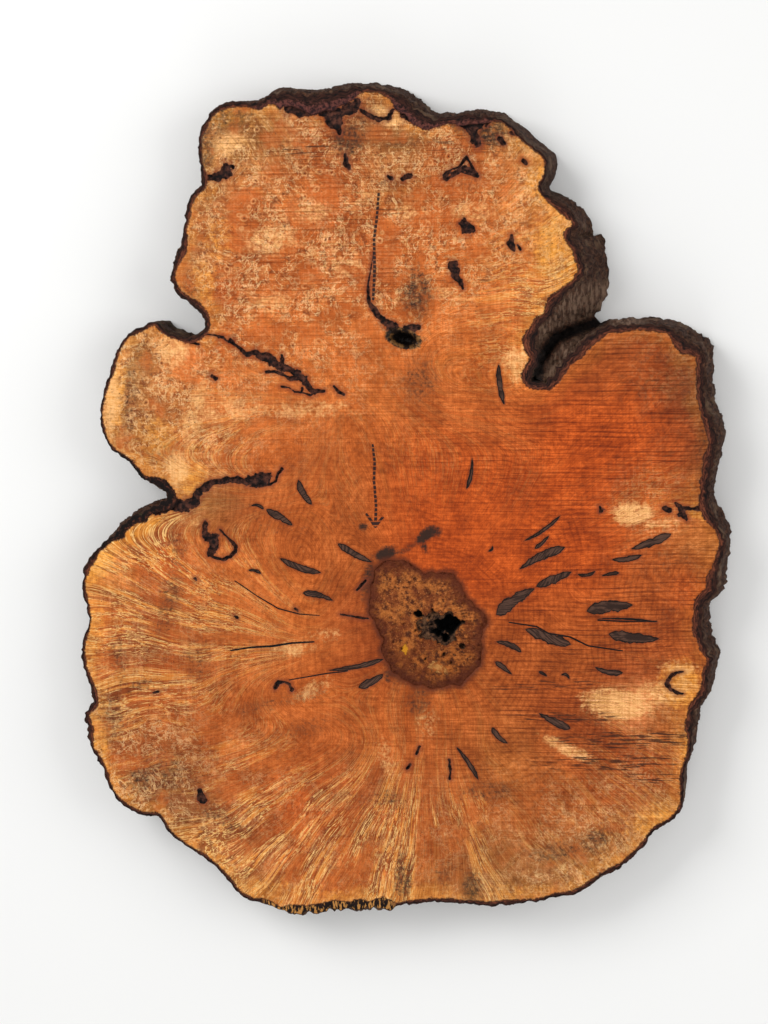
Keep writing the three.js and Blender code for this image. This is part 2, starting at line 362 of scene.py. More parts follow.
# %% Seams of bark, knots and cracks
SEAMS = [                              # routes of right of the pith, above it, half width
    [(-330, 423, 0.8), (-311, 421, 1.3), (-306, 419, 3), (-301, 417, 2), (-295, 412, 1),
     (-290, 413, 4.5), (-286, 408, 2), (-281, 405, 1.6), (-275, 400, 2.6), (-267, 393, 3.6),
     (-261, 394, 2.6), (-252, 396, 5), (-243, 390, 7), (-232, 386, 7), (-224, 378, 6),
     (-215, 374, 5.5), (-201, 370, 4), (-191, 364, 5), (-184, 358, 5.5), (-180, 351, 4.5),
     (-173, 343, 4), (-166, 338, 4.5), (-153, 339, 2.4)],
    [(-237, 367, 2.6), (-225, 368, 2), (-215, 364, 3), (-204, 358, 3), (-193, 357, 4)],
    [(-215, 376, 4), (-214, 386, 3.4), (-215, 392, 1.6)],
    [(-216, 346, 1.5), (-204, 344, 1), (-196, 338, 1.2), (-186, 337, 1.2), (-185, 343, 2)],
    [(-186, 337, 1), (-172, 333, 1.6), (-166, 338, 2)], [(-138, 346, 1.4), (-131, 337, 2.8), (-123, 334, 2)],
    [(-319, 361, 2.6), (-313, 358, 2.8)],
    [(-404, 163, 7), (-377, 172, 10), (-357, 170, 9), (-345, 175, 7), (-340, 187, 6),
     (-328, 199, 5.5), (-313, 205, 4.5), (-293, 208, 4.5), (-276, 207, 5), (-263, 206, 7.5),
     (-249, 209, 9), (-237, 211, 7)],
    [(-263, 199, 1.2), (-244, 199, 1.4), (-232, 202, 1.6), (-224, 207, 1.6), (-221, 217, 2),
     (-215, 224, 2.2)],
    [(-336, 656, 3), (-325, 652, 4), (-314, 653, 6), (-303, 657, 8), (-295, 662, 10)],
    [(-84, 515, 0.8), (-88, 493, 1.6), (-86, 469, 3), (-74, 451, 4), (-62, 439, 5.5), (-44, 426, 8)],
    [(-80, 539, 0.6), (-84, 515, 0.8)], [(-40, 422, 8), (-26, 430, 6), (-15, 432, 4)],
    [(-205, 752, 7), (-186, 748, 9), (-160, 750, 8), (-140, 742, 11), (-134, 728, 8), (-130, 716, 3)],
    [(-140, 742, 8), (-116, 748, 9), (-104, 758, 6)],
    [(-98, 748, 2.5), (-86, 741, 3), (-72, 735, 3.4), (-58, 737, 3.6), (-52, 748, 3)],
    [(-34, 742, 6), (-12, 734, 7), (4, 728, 6), (14, 734, 5)],
    [(50, 732, 9), (66, 728, 12), (84, 736, 9)], [(62, 720, 7), (68, 706, 7), (72, 696, 5)],
    [(104, 706, 3.4), (110, 700, 4)], [(122, 714, 3), (129, 713, 3)], [(138, 674, 3), (142, 670, 2.6)],
    [(24, 650, 4.5), (28, 655, 3), (34, 662, 1.6), (45, 664, 1.6), (56, 680, 2), (64, 666, 2),
     (72, 652, 3), (62, 654, 1.4), (48, 658, 1.4), (36, 652, 2), (26, 648, 3)],
    [(36, 655, 3), (54, 662, 5), (64, 658, 4)], [(52, 582, 7), (60, 574, 8)],
    [(122, 565, 2), (122, 552, 6), (126, 543, 2.4)],
    [(131, 551, 1.6), (135, 545, 1.6)],
    [(36, 522, 7), (39, 514, 7.5), (39, 506, 5), (47, 500, 3.6), (51, 489, 2)],
    [(-121, 684, 2), (-120, 674, 5), (-116, 664, 2.6)], [(-38, 648, 3), (-32, 651, 4.4), (-25, 653, 3)],
    [(-58, 652, 2.6), (-54, 649, 3)],
    [(346, 168, 4.2), (352, 166, 4)], [(362, 176, 2), (368, 170, 3), (371, 161, 6), (378, 152, 2)],
    [(371, 168, 3), (390, 168, 2.4), (404, 170, 5)], [(252, 170, 1.8), (254, 164, 2.4)],
    [(-226, -99, 3.6), (-221, -92, 3), (-212, -91, 1.4), (-204, -95, 2.6), (-201, -102, 3.2)],
    [(374, -71, 1.4), (363, -73, 2.4), (355, -79, 3.2), (351, -88, 3.4), (356, -97, 3), (366, -102, 2.4),
     (374, -103, 1.2)],
    [(-330, 143, 4.5), (-331, 130, 3.6), (-324, 121, 6), (-316, 120, 7), (-317, 109, 7),
     (-322, 99, 5), (-318, 94, 2), (-304, 90, 2.2), (-292, 95, 2.8), (-285, 103, 3), (-284, 110, 3),
     (-290, 117, 1.8), (-299, 126, 1.4), (-308, 135, 1.2)],
    [(-366, 425, 4), (-352, 412, 2.6), (-338, 408, 1.4)], [(150, 366, 5), (166, 380, 4), (180, 388, 3)],
    [(-345, 62, 2), (-343, 59, 2)], [(-408, -109, 1.4), (-400, -107, 1.6)],
    [(-340, -256, 4), (-337, -263, 6), (-334, -270, 5)], [(-12, -186, 2.4), (-16, -196, 1.6)],
    [(-26, -212, 2.2), (-30, -218, 1.6)], [(32, -204, 1.6), (34, -220, 2), (33, -232, 1.8)],
    [(-286, 6, 1.4), (-282, 4, 1.6)], [(-196, 18, 1.6), (-192, 14, 1.6)],
    [(-128, 10, 1.2), (-104, 6, 1.8), (-88, 4, 1.2)], [(-104, 46, 1.6), (-92, 60, 2)],
]
CRACKS = [
    [(-292, -45, 0.8), (-262, -40, 1), (-231, -38, 1.4), (-200, -33, 1.1), (-168, -31, 0.8)],
    [(-286, 59, 0.5), (-252, 36, 0.6), (-221, 18, 0.7), (-190, 10, 0.6), (-160, 8, 0.4)],
    [(119, 0, 0.6), (160, -6, 0.8), (178, -16, 0.8), (209, -21, 1), (236, -34, 0.8), (286, -41, 0.7)],
    [(250, 4, 0.8), (292, 2, 0.7), (336, 3, 0.5)], [(-205, -88, 0.5), (-150, -78, 0.7), (-118, -74, 0.5)],
]
STROKES = [                            # what a dealer's crayon left on the face
    [(-72, 628, 1.8), (-75, 590, 2), (-79, 560, 2), (-78, 520, 2.2), (-80, 474, 2)],
    [(-81, 260, 1.6), (-78, 235, 2), (-79, 208, 2), (-76, 170, 2), (-77, 142, 2.2)],
    [(-90, 158, 1.8), (-77, 140, 2.2), (-66, 154, 1.8)],
]


def route_distance(places, routes, rag=0.0):
    """Millimetres from the nearest route's edge, and below 0 inside it. Wide routes tear more."""
    nearest = np.full(len(places), 99.0)
    for route in routes:
        rows = np.array(route, float)
        for (*begin, first), (*end, last) in zip(rows[:-1], rows[1:]):
            begin, step = np.array(begin), np.array(end) - begin
            share = np.clip((places - begin) @ step / (step @ step), 0, 1)
            apart = np.linalg.norm(places - begin - share[:, None] * step, axis=1)
            width = first + (last - first) * share
            nearest = np.minimum(nearest, apart - width * (1 + 0.6 * rag))
    return nearest


# %% [markdown]
# ## The edge of the rot, and ovals
# Rot spreads unevenly from the pith. Its edge is given as a reach at each bearing, with small waves added
# so that it isn't smooth. The knot hole is a turned oval, and so are the stains and patches that come
# later, so one function measures them all.

# %% The rotten heart and the holes
HEART_RIM = [                          # bearing from the pith and how far the rot reaches there
    (-159, 74), (-137, 84), (-115, 97), (-94, 95), (-74, 102), (-62, 108), (-46, 100), (-30, 94),
    (-18, 85), (-4, 89), (6, 86), (21, 71), (40, 73), (58, 78), (79, 76), (95, 75), (107, 89),
    (117, 102), (127, 110), (137, 112), (152, 97), (177, 82),
]
KNOT_HOLE = (-36, 416, 25, 13, -15)    # middle, half sizes and turn, as in the solid


def heart_reach(bearing):
    """How far the rot reaches, in millimetres, at each bearing in radians."""
    known, reach = np.array(HEART_RIM).T
    waves = 2.4 * np.sin(7 * bearing) + 1.2 * np.sin(17 * bearing + 1) + 0.9 * np.sin(29 * bearing + 2)
    return np.interp(np.degrees(bearing), known, reach, period=360) + waves


def heart_distance(places):
    """Millimetres out from the edge of the rot, and below 0 inside it."""
    bearing = np.arctan2(places[:, 1], places[:, 0])
    return np.linalg.norm(places, axis=1) - heart_reach(bearing)


def oval_distance(places, x, y, half_x, half_y, turn):
    """Roughly the millimetres to the edge of a turned oval, and below 0 inside it."""
    angle = np.radians(turn)
    offset = places - np.array((x, y))
    along = offset @ np.array((np.cos(angle), np.sin(angle))) / half_x
    aside = offset @ np.array((-np.sin(angle), np.cos(angle))) / half_y
    return (np.hypot(along, aside) - 1) * min(half_x, half_y)


# %% [markdown]
# ## The sawn wood
# The saw leaves a flat face, but pockets, seams and holes need real depth, so the face must be fine
# where they are and can be coarse elsewhere. It starts as one many-sided face, is extruded through the
# slab, and is cut into squares by planes. Squares near a feature are then subdivided.

# %% Cut a flat face into squares
def slice_up(shape, faces, axis, step):
    """Cuts flat faces by parallel planes, one step apart along an axis, and returns them all."""
    normal = Vector((0, 0, 0))
    normal[axis] = 1
    reach = [vert.co[axis] for face in faces for vert in face.verts]
    begin, end = min(reach), max(reach)
    done = []
    todo = list(faces)
    place = begin + step / 2
    while place < end and todo:
        geom = todo + list({edge for face in todo for edge in face.edges})
        geom += list({vert for face in todo for vert in face.verts})
        point = normal * place
        cut = bmesh.ops.bisect_plane(shape, geom=geom, dist=1e-7, plane_co=point, plane_no=normal)
        found = [item for item in cut["geom"] if isinstance(item, bmesh.types.BMFace)]
        passed = [max(vert.co[axis] for vert in face.verts) <= place + 1e-6 for face in found]
        done += [face for face, gone in zip(found, passed) if gone]
        todo = [face for face, gone in zip(found, passed) if not gone]
        place += step
    return done + todo


def sawn_block(top, bottom, top_z, bottom_z, top_step, bottom_step=None):
    """A closed block between two matching outlines, its top and bottom cut into squares."""
    block = bmesh.new()
    made = bmesh.ops.create_circle(block, cap_ends=True, segments=len(top), radius=1)
    upper = list(made["verts"])
    for vert, place in zip(upper, top):
        vert.co = (*place, top_z)
    bottom_of = {vert: place for vert, place in zip(upper, bottom)}
    top_face = block.faces[:][0]
    grown = bmesh.ops.extrude_face_region(block, geom=[top_face])
    for vert in [item for item in grown["geom"] if isinstance(item, bmesh.types.BMVert)]:
        above = next(other for other in (edge.other_vert(vert) for edge in vert.link_edges)
                     if other in bottom_of)
        vert.co = (*bottom_of[above], bottom_z)
    block.normal_update()
    for height, step in ((top_z, top_step), (bottom_z, bottom_step)):
        if step:
            faces = [face for face in block.faces
                     if all(abs(vert.co.z - height) < 1e-7 for vert in face.verts)]
            slice_up(block, slice_up(block, faces, 0, step), 1, step)
    if block.calc_volume(signed=True) < 0:
        bmesh.ops.reverse_faces(block, faces=block.faces)
    return block


FACE_STEP = 4.4 * mm                   # side of the squares on the front face
BACK_STEP = 11 * mm                    # the plain back face needs fewer
wood_mesh = sawn_block(wood_front, wood_back, high.z, low.z, FACE_STEP, BACK_STEP)
print("wood faces", len(wood_mesh.faces), "litres", round(wood_mesh.calc_volume() * 1000, 1))


# %% [markdown]
# ## A finer mesh where it counts
# A crisp edge needs small squares, but small squares everywhere would make the mesh too heavy. Only edges
# near a feature are halved, first within 6 mm and then within 2.2 mm of it. Faces that are left with more
# than four corners are cut into triangles.

# %% Refine the squares near the features
def feature_distance(places):
    """Millimetres to the nearest edge of anything that is sunk or drawn."""
    lines = np.minimum(route_distance(places, CRACKS), route_distance(places, STROKES))
    edges = [pocket_distance(places, 0), route_distance(places, SEAMS),
             oval_distance(places, *KNOT_HOLE), heart_distance(places) + 4, lines + 1.5]
    return np.min(np.abs(edges), axis=0)


def refine(shape, height, reach, longest):
    """Halves the edges on a face that lie within reach of a feature and are longer than longest."""
    verts = [vert for vert in shape.verts if abs(vert.co.z - height) < 1e-6]
    places = on_slab(np.array([vert.co.xy[:] for vert in verts]))
    near = {vert for vert, apart in zip(verts, feature_distance(places)) if apart < reach}
    edges = [edge for edge in shape.edges
             if any(vert in near for vert in edge.verts)
             and all(abs(vert.co.z - height) < 1e-6 for vert in edge.verts)
             and edge.calc_length() > longest]
    bmesh.ops.subdivide_edges(shape, edges=edges, cuts=1, use_grid_fill=True)


refine(wood_mesh, high.z, 6.0, 2.6 * mm)
refine(wood_mesh, high.z, 2.2, 1.5 * mm)
corners = [face for face in wood_mesh.faces if len(face.verts) > 4]
bmesh.ops.triangulate(wood_mesh, faces=corners)
print("refined wood faces", len(wood_mesh.faces))


# %% [markdown]
# ## Sinking what lies in the wood
# Bark in a pocket crumbles out and rot leaves a hollow, so the face is lower there. Each kind of place
# has its own depth, a smooth ease makes its walls slope, and the deepest one wins where two meet.

# %% Sink the pockets, seams and holes
def ease(values, start, end):
    """0 up to start, 1 from end on, and smooth between, whichever is the larger."""
    share = np.clip((values - start) / (end - start), 0, 1)
    return share * share * (3 - 2 * share)


POCKET_SINK = 2.0                      # how deep each kind of place is sunk, in millimetres
SEAM_SINK = 4.5
CRACK_SINK = 2.2
KNOT_SINK = 26
HEART_SINK = 53                        # a little more than the block of rot that fills it


def sink_of(places, metres):
    """How far the face lies below the saw's plane at each place, in millimetres."""
    ragged = cloud(metres, 5 * mm, seed=6, octaves=2)
    rag = rag_of(places)
    pocket = pocket_distance(places, rag)
    seam = route_distance(places, SEAMS, rag)
    crack = route_distance(places, CRACKS)
    hole = oval_distance(places, *KNOT_HOLE) + 2.0 * ragged
    sunk = ease(-pocket, -0.8, 2.0) * (POCKET_SINK + 1.2 * ragged)
    sunk = np.maximum(sunk, ease(-seam, -0.8, 2.5) * (SEAM_SINK + 3.0 * ragged))
    sunk = np.maximum(sunk, ease(-crack, -0.8, 0.8) * CRACK_SINK)
    sunk = np.maximum(sunk, ease(-hole, -0.5, 9.0) * (KNOT_SINK + 4 * ragged))
    return np.maximum(sunk, ease(-heart_distance(places), 1.0, 8.0) * HEART_SINK)


face_verts = [vert for vert in wood_mesh.verts if abs(vert.co.z - high.z) < 1e-6]
face_metres = np.array([vert.co[:] for vert in face_verts])
for vert, drop in zip(face_verts, sink_of(on_slab(face_metres[:, :2]), face_metres)):
    vert.co.z -= drop * mm
for face in wood_mesh.faces:
    face.smooth = all(vert.co.z > high.z - (HEART_SINK + 1) * mm for vert in face.verts)
print("deepest place", round(1000 * (high.z - min(v.co.z for v in face_verts)), 1), "mm")


# %% [markdown]
# ## The rotten heart
# Fungus has turned the heart soft and spongy, and part of it has fallen out. It is its own block, set
# into the pocket that the wood leaves for it, because crumbly wood needs a finer surface than sound
# wood. Its top is a height field: spongy lumps, one large hollow and a few small holes.

# %% Shape the heart
HOLLOWS = [                            # middle, half sizes, turn and depth
    (16, -10, 36, 26, 8, 14), (29, -8, 26, 19, 25, 48), (-11, 9, 11, 5, -15, 24), (6, -14, 10, 6, -40, 20),
    (51, -37, 6, 5, 0, 16), (23, -50, 7, 4, 60, 14), (34, -61, 4, 4, 0, 12), (-4, -57, 5, 5, 40, 12),
    (-39, -41, 4, 3, 20, 8), (-32, 40, 3, 2, 0, 5), (46, 20, 4, 3, 0, 5), (-52, 12, 4, 3, 0, 5),
]
HEART_CORNERS = 260                    # corners round the block of rot
HEART_OVERLAP = 1.5                    # how far it reaches in under the wood, in millimetres
HEART_HEIGHT = 52                      # height of the block of rot
HEART_DEEPEST = 50.5                   # the hollow stops just above the block's foot
HEART_STEP = 1.5 * mm                  # side of the squares on its top
bearings = np.linspace(-np.pi, np.pi, HEART_CORNERS, endpoint=False)
reach = heart_reach(bearings) + HEART_OVERLAP
heart_plan = np.array([spot(x, y) for x, y in zip(reach * np.cos(bearings), reach * np.sin(bearings))])
heart_mesh = sawn_block(heart_plan, heart_plan, high.z, high.z - HEART_HEIGHT * mm, HEART_STEP)
heart_verts = [vert for vert in heart_mesh.verts if abs(vert.co.z - high.z) < 1e-6]
heart_metres = np.array([vert.co[:] for vert in heart_verts])
heart_places = on_slab(heart_metres[:, :2])


def heart_sink(places, metres):
    """How far the heart's top lies below the saw's plane, in millimetres."""
    sponge = cloud(metres, 9 * mm, seed=7, octaves=4)
    ragged = cloud(metres, 14 * mm, seed=8, octaves=4)
    sunk = 1.3 + 4.5 * np.abs(sponge) + 4 * ease(-heart_distance(places), 2, 40)
    hollow = np.zeros(len(places))
    for x, y, half_x, half_y, turn, deep in HOLLOWS:
        edge = oval_distance(places, x, y, half_x, half_y, turn) + 9 * ragged * min(1, half_x / 16)
        hollow = np.maximum(hollow, ease(-edge, -0.6, 0.22 * deep) * (deep + 5 * sponge))
    return np.minimum(np.maximum(sunk, hollow), HEART_DEEPEST)


for vert, drop in zip(heart_verts, heart_sink(heart_places, heart_metres)):
    vert.co.z -= drop * mm
for face in heart_mesh.faces:
    face.smooth = True
bmesh.ops.triangulate(heart_mesh, faces=[face for face in heart_mesh.faces if len(face.verts) > 4])
print("heart faces", len(heart_mesh.faces))


# %% [markdown]
# ## What the shaders need to know
# Each vertex carries what the shaders ask about: how far it is from a pocket, a seam or the edge of
# the rot, which way the fibres fan, and a soft base tone. Distances blend well across a face, so even a
# fairly coarse mesh can carry a crisp outline.

# %% Carry values on a mesh
def carry(shape, name, rows):
    """Writes one row of three numbers to each vertex, in a layer of this name."""
    layer = shape.verts.layers.float_vector.new(name)
    for vert, row in zip(shape.verts, rows):
        vert[layer] = row


def shade_of(red, green, blue):
    """A named paint tone, 0 to 255 a channel as on a colour chart, as light for the shaders."""
    chart = np.array((red, green, blue)) / 255
    return np.where(chart <= 0.04045, chart / 12.92, ((chart + 0.055) / 1.055) ** 2.4)


TONES = {
    "umber": shade_of(108, 62, 38), "russet": shade_of(152, 74, 32), "amber": shade_of(186, 86, 30),
    "clay": shade_of(168, 90, 42), "drab": shade_of(150, 104, 66), "copper": shade_of(184, 100, 47),
    "tan": shade_of(180, 114, 62), "orange": shade_of(198, 112, 55), "straw": shade_of(172, 130, 84),
    "peach": shade_of(210, 124, 66), "gold": shade_of(212, 142, 82), "blush": shade_of(236, 158, 112),
}
WASHES = {                             # each tone's soft patches: where, and how far each reaches
    "umber": [(380, 340, 40), (405, 240, 30), (-480, -150, 40), (-400, -220, 40), (-360, -260, 50)],
    "russet": [(330, 380, 50), (370, 270, 40), (-420, 0, 50), (-120, 10, 40), (340, -20, 50),
        (-420, -60, 50), (-100, -80, 40), (300, -60, 50), (200, -140, 60), (280, -190, 60),
        (300, -240, 50), (-110, -250, 60)],
    "amber": [(-330, 470, 40), (200, 310, 60), (300, 300, 60), (0, 240, 60), (100, 230, 70),
        (220, 220, 70), (320, 210, 60), (-20, 150, 50), (100, 150, 70), (230, 140, 60), (-400, 90, 50),
        (60, 80, 40), (150, 60, 60), (240, 60, 60), (390, 50, 40), (-190, -270, 60)],
    "clay": [(-150, 690, 60), (60, 690, 50), (-310, 580, 40), (-110, 590, 40), (-280, 520, 50),
        (-90, 520, 50), (250, 380, 60), (385, 190, 40), (-260, 160, 50), (-100, 160, 60), (-140, 80, 50),
        (330, 60, 60), (-350, 10, 60), (130, -10, 50), (200, 10, 50), (390, -30, 40), (-485, -70, 40),
        (-340, -60, 60), (110, -70, 50), (200, -70, 50), (-410, -150, 50), (-330, -140, 50),
        (-250, -130, 60), (110, -140, 50), (-470, -210, 40), (-320, -200, 60), (-150, -200, 60),
        (30, -200, 60), (370, -220, 40), (-280, -270, 60), (-10, -280, 60), (160, -290, 60),
        (250, -280, 60), (-250, -340, 60), (-70, -340, 50), (20, -340, 50), (-180, -390, 50),
        (-90, -400, 40)],
    "drab": [(-280, 735, 45), (-230, 700, 40), (-60, 700, 50), (-320, 640, 35), (-350, 530, 30),
        (-430, 320, 50), (-420, 150, 40), (-320, 160, 40), (330, -290, 40), (-330, -330, 50),
        (100, -340, 50), (190, -350, 60), (270, -340, 50), (-270, -390, 40), (80, -400, 40),
        (170, -400, 40)],
    "copper": [(-250, 640, 50), (-130, 640, 50), (50, 620, 60), (-190, 520, 60), (-300, 390, 50),
        (0, 310, 60), (100, 310, 70), (-300, 250, 50), (-200, 260, 60), (-110, 250, 60), (-180, 170, 60),
        (-230, 80, 60), (-480, 0, 40), (280, 10, 50), (-250, -60, 60), (-170, -70, 60), (-170, -140, 60),
        (-80, -140, 50), (20, -140, 50), (-60, -200, 60), (210, -220, 60), (80, -280, 50),
        (-160, -340, 60)],
    "tan": [(-50, 640, 40), (180, 500, 40), (-360, 300, 60), (-390, 240, 40), (400, 110, 40),
        (370, -150, 40), (120, -210, 60), (0, -400, 40)],
    "orange": [(-220, 590, 60), (-20, 570, 50), (80, 560, 60), (20, 500, 50), (-250, 450, 60),
        (-75, 450, 30), (130, 440, 50), (-200, 390, 60), (-100, 380, 50), (60, 390, 60), (-190, 320, 60),
        (-100, 320, 60), (-320, 80, 60), (-270, 20, 60), (-190, 10, 60), (380, -80, 40),
        (-240, -200, 60)],
    "straw": [(-290, 690, 40), (150, 690, 50), (205, 640, 40), (220, 540, 40), (-430, 390, 40)],
    "peach": [(130, 640, 50), (110, 510, 60), (-160, 440, 60), (60, 450, 40), (-370, 370, 50),
        (130, 370, 40), (-280, 320, 60), (325, 168, 36)],
    "gold": [(-20, 745, 25), (170, 580, 50), (-470, 70, 40)],
    "blush": [(310, -125, 34)],
}


def soft_mix(places, rows, values):
    """Blends the rows' values at each place. A row starts with x, y and its reach, in millimetres."""
    total = np.zeros((len(places), values.shape[1]))
    weights = np.full(len(places), 1e-9)
    for (x, y, reach, *_), value in zip(rows, values):
        near = np.exp(-((places[:, 0] - x) ** 2 + (places[:, 1] - y) ** 2) / reach ** 2)
        total += near[:, None] * value
        weights += near
    return total / weights[:, None]


def tone_of(places):
    """The base tone at each place, which lies in millimetres from the pith."""
    rows = [row for group in WASHES.values() for row in group]
    tones = [TONES[name] for name, group in WASHES.items() for _ in group]
    return soft_mix(places, rows, np.array(tones))


# %% [markdown]
# ## Which figure grows where
# Fans spread from local centres toward the bark, and curls gather in the lobes. Both are listed as soft
# spots that blend into each other, because a figure never stops at a line. Each vertex then gets a
# direction from its local centre and a distance from it, and streaks are stretched along that.

# %% The flow of the figure
FIGURE = [                             # where, reach, then how much fan, curl and saw mark it shows
    (-400, 60, 110, 1.0, 0.2, 0.1), (-270, 0, 70, 0.9, 0.1, 0.15), (-430, -60, 90, 0.85, 0.3, 0.1),
    (-290, -125, 60, 0.0, 0.0, 0.2), (-300, 160, 50, 0.1, 0.0, 0.3), (-430, -220, 80, 0.5, 1.0, 0.1),
    (-300, -220, 80, 0.9, 0.3, 0.2),
    (-200, -310, 90, 1.0, 0.3, 0.2), (-60, -330, 90, 1.0, 0.2, 0.2), (40, -330, 70, 1.0, 0.3, 0.2),
    (130, -300, 70, 0.1, 0.2, 0.4), (230, -330, 90, 0.4, 0.8, 0.2), (330, -240, 80, 0.4, 0.4, 0.5),
    (-130, -160, 80, 0.15, 0.0, 0.3), (10, -170, 80, 0.2, 0.0, 0.6), (200, -180, 90, 0.0, 0.0, 1.0),
    (300, -60, 110, 0.05, 0.0, 0.9), (310, -130, 50, 0.5, 0.3, 0.5), (200, 60, 90, 0.0, 0.0, 0.8),
    (350, 60, 90, 0.0, 0.1, 0.9), (325, 168, 50, 0.5, 0.6, 0.5), (300, 270, 120, 0.0, 0.0, 1.0),
    (380, 370, 80, 0.1, 0.3, 0.7), (150, 240, 90, 0.1, 0.0, 0.8), (30, 300, 90, 0.2, 0.0, 0.6),
    (-100, 180, 90, 0.1, 0.0, 0.3), (-200, 120, 90, 0.1, 0.0, 0.2), (-170, 280, 90, 0.2, 0.1, 0.4),
    (-400, 330, 80, 0.2, 1.0, 0.3), (-310, 280, 60, 0.9, 0.5, 0.4), (-230, 340, 60, 0.3, 0.4, 0.3),
    (130, 465, 60, 1.0, 0.1, 0.4), (60, 390, 60, 0.15, 0.1, 0.4), (-60, 370, 60, 0.1, 0.3, 0.5),
    (-200, 430, 90, 0.1, 0.9, 0.5), (-230, 540, 100, 0.0, 1.0, 0.6), (-100, 560, 100, 0.0, 1.0, 0.7),
    (20, 540, 80, 0.0, 1.0, 0.5), (20, 650, 90, 0.0, 0.9, 0.6), (140, 560, 60, 0.4, 0.8, 0.3),
    (200, 560, 60, 0.9, 0.4, 0.2), (170, 660, 70, 0.6, 0.8, 0.3), (-240, 680, 80, 0.3, 0.9, 0.6),
    (-330, 540, 60, 0.3, 0.8, 0.3), (-120, 700, 80, 0.0, 0.8, 0.8), (60, 90, 120, 0.0, 0.0, 0.6),
    (-90, 60, 90, 0.0, 0.0, 0.3), (-150, 30, 60, 0.1, 0.0, 0.2), (-160, -110, 60, 0.05, 0.0, 0.3),
]
FANS = [                               # where, reach, then the point that the fibres fan out from
    (-370, 60, 120, -150, -45), (-250, 0, 100, -150, -45), (-480, -60, 100, -150, -45),
    (-420, -180, 110, -110, -70), (-290, -230, 80, -20, -90), (-200, -320, 100, 0, -100),
    (-60, -330, 110, -5, -110), (70, -330, 90, 10, -110), (230, -320, 110, 60, -60),
    (330, -120, 120, 60, -60), (0, 0, 110, 0, 0), (320, 200, 120, 0, 60), (-390, 320, 110, -150, 330),
    (-280, 290, 80, -150, 330), (-200, 330, 60, -120, 330), (120, 450, 90, -260, 400),
    (40, 390, 70, -260, 400), (190, 590, 90, -260, 400), (150, 520, 90, -260, 400),
    (-20, 720, 110, -20, 470),
    (-280, 640, 110, -90, 480), (-310, 500, 80, -120, 470), (0, 200, 110, 0, 0),
]
FAN_SPREAD = 26                        # how finely the fan is divided
FAN_STRETCH = 85                       # length of a streak, in millimetres


def flow_of(places):
    """Place in the fan: a direction from the local centre, then the distance from it."""
    centres = soft_mix(places, FANS, np.array([row[3:5] for row in FANS], float))
    offset = places - centres
    reach = np.maximum(np.linalg.norm(offset, axis=1), 1)
    return np.column_stack([offset / reach[:, None] * FAN_SPREAD, reach / FAN_STRETCH])


# %% [markdown]
# ## Stains, cream patches, gold and burns
# Fungus and iron stain wood grey, fibres that stand on end look creamy with a painted sheen, the rim swells
# golden, and the blade burns in rows. Each is listed as soft ovals with a strength. The shader frays their
# edges later, so plain ovals are enough.

# %% Stains
STAINS = [                             # middle, half sizes, turn and strength
    (-16, 484, 22, 36, 0, 0.6), (-12, 356, 26, 28, 0, 0.5), (312, 340, 9, 62, 0, 0.3),
    (-62, 100, 14, 8, 20, 1.1), (-88, 62, 9, 28, -12, 0.7), (-3, 128, 15, 7, 40, 1.1),
    (13, 133, 6, 8, 0, 0.9), (-6, 112, 4, 12, 25, 0.8), (-30, 108, 22, 4, 30, 0.6), (-95, 140, 7, 5, 0, 0.8),
    (-12, -116, 18, 24, 0, 0.5), (-52, -80, 14, 12, 0, 0.6), (-384, 30, 14, 60, -15, 0.45),
    (-372, 100, 14, 36, 10, 0.4), (-340, -60, 22, 30, 0, 0.35), (-430, -100, 30, 10, 20, 0.4),
    (-36, -385, 12, 34, 0, 0.6), (24, -372, 14, 22, 0, 0.4), (66, -398, 14, 26, 0, 0.6),
    (190, -340, 36, 14, 10, 0.5), (250, -320, 26, 16, 30, 0.5), (-390, -230, 40, 30, 0, 0.35),
    (-430, -240, 24, 18, 0, 0.5), (-120, -262, 36, 10, 0, 0.3), (-60, -262, 24, 12, 0, 0.45),
    (90, -250, 36, 14, 0, 0.45), (-110, 742, 50, 26, 0, 0.4), (-116, 706, 22, 24, 0, 0.65),
    (-30, 700, 40, 16, 10, 0.3), (90, 716, 26, 22, 0, 0.7), (60, 730, 24, 14, 0, 0.8),
    (-330, 700, 14, 50, 0, 0.55), (-300, 735, 40, 16, 10, 0.5), (-350, 480, 18, 26, 0, 0.4),
    (330, 390, 50, 8, -4, 0.3), (375, 350, 16, 40, 0, 0.25), (400, 250, 10, 60, 0, 0.35),
    (-430, 165, 24, 10, -20, 0.4), (60, 640, 22, 10, 0, 0.4), (-60, 640, 22, 10, 0, 0.35),
    (-230, 150, 60, 18, -20, 0.25), (-180, -160, 70, 16, 20, 0.3), (-440, 330, 10, 60, -4, 0.42),
    (-420, 380, 20, 30, 10, 0.3), (-390, 250, 30, 20, 0, 0.3), (-470, -150, 20, 40, 0, 0.35),
    (-460, -60, 12, 40, 10, 0.4), (-300, -300, 50, 14, -30, 0.4), (-220, -120, 70, 10, 12, 0.35),
]
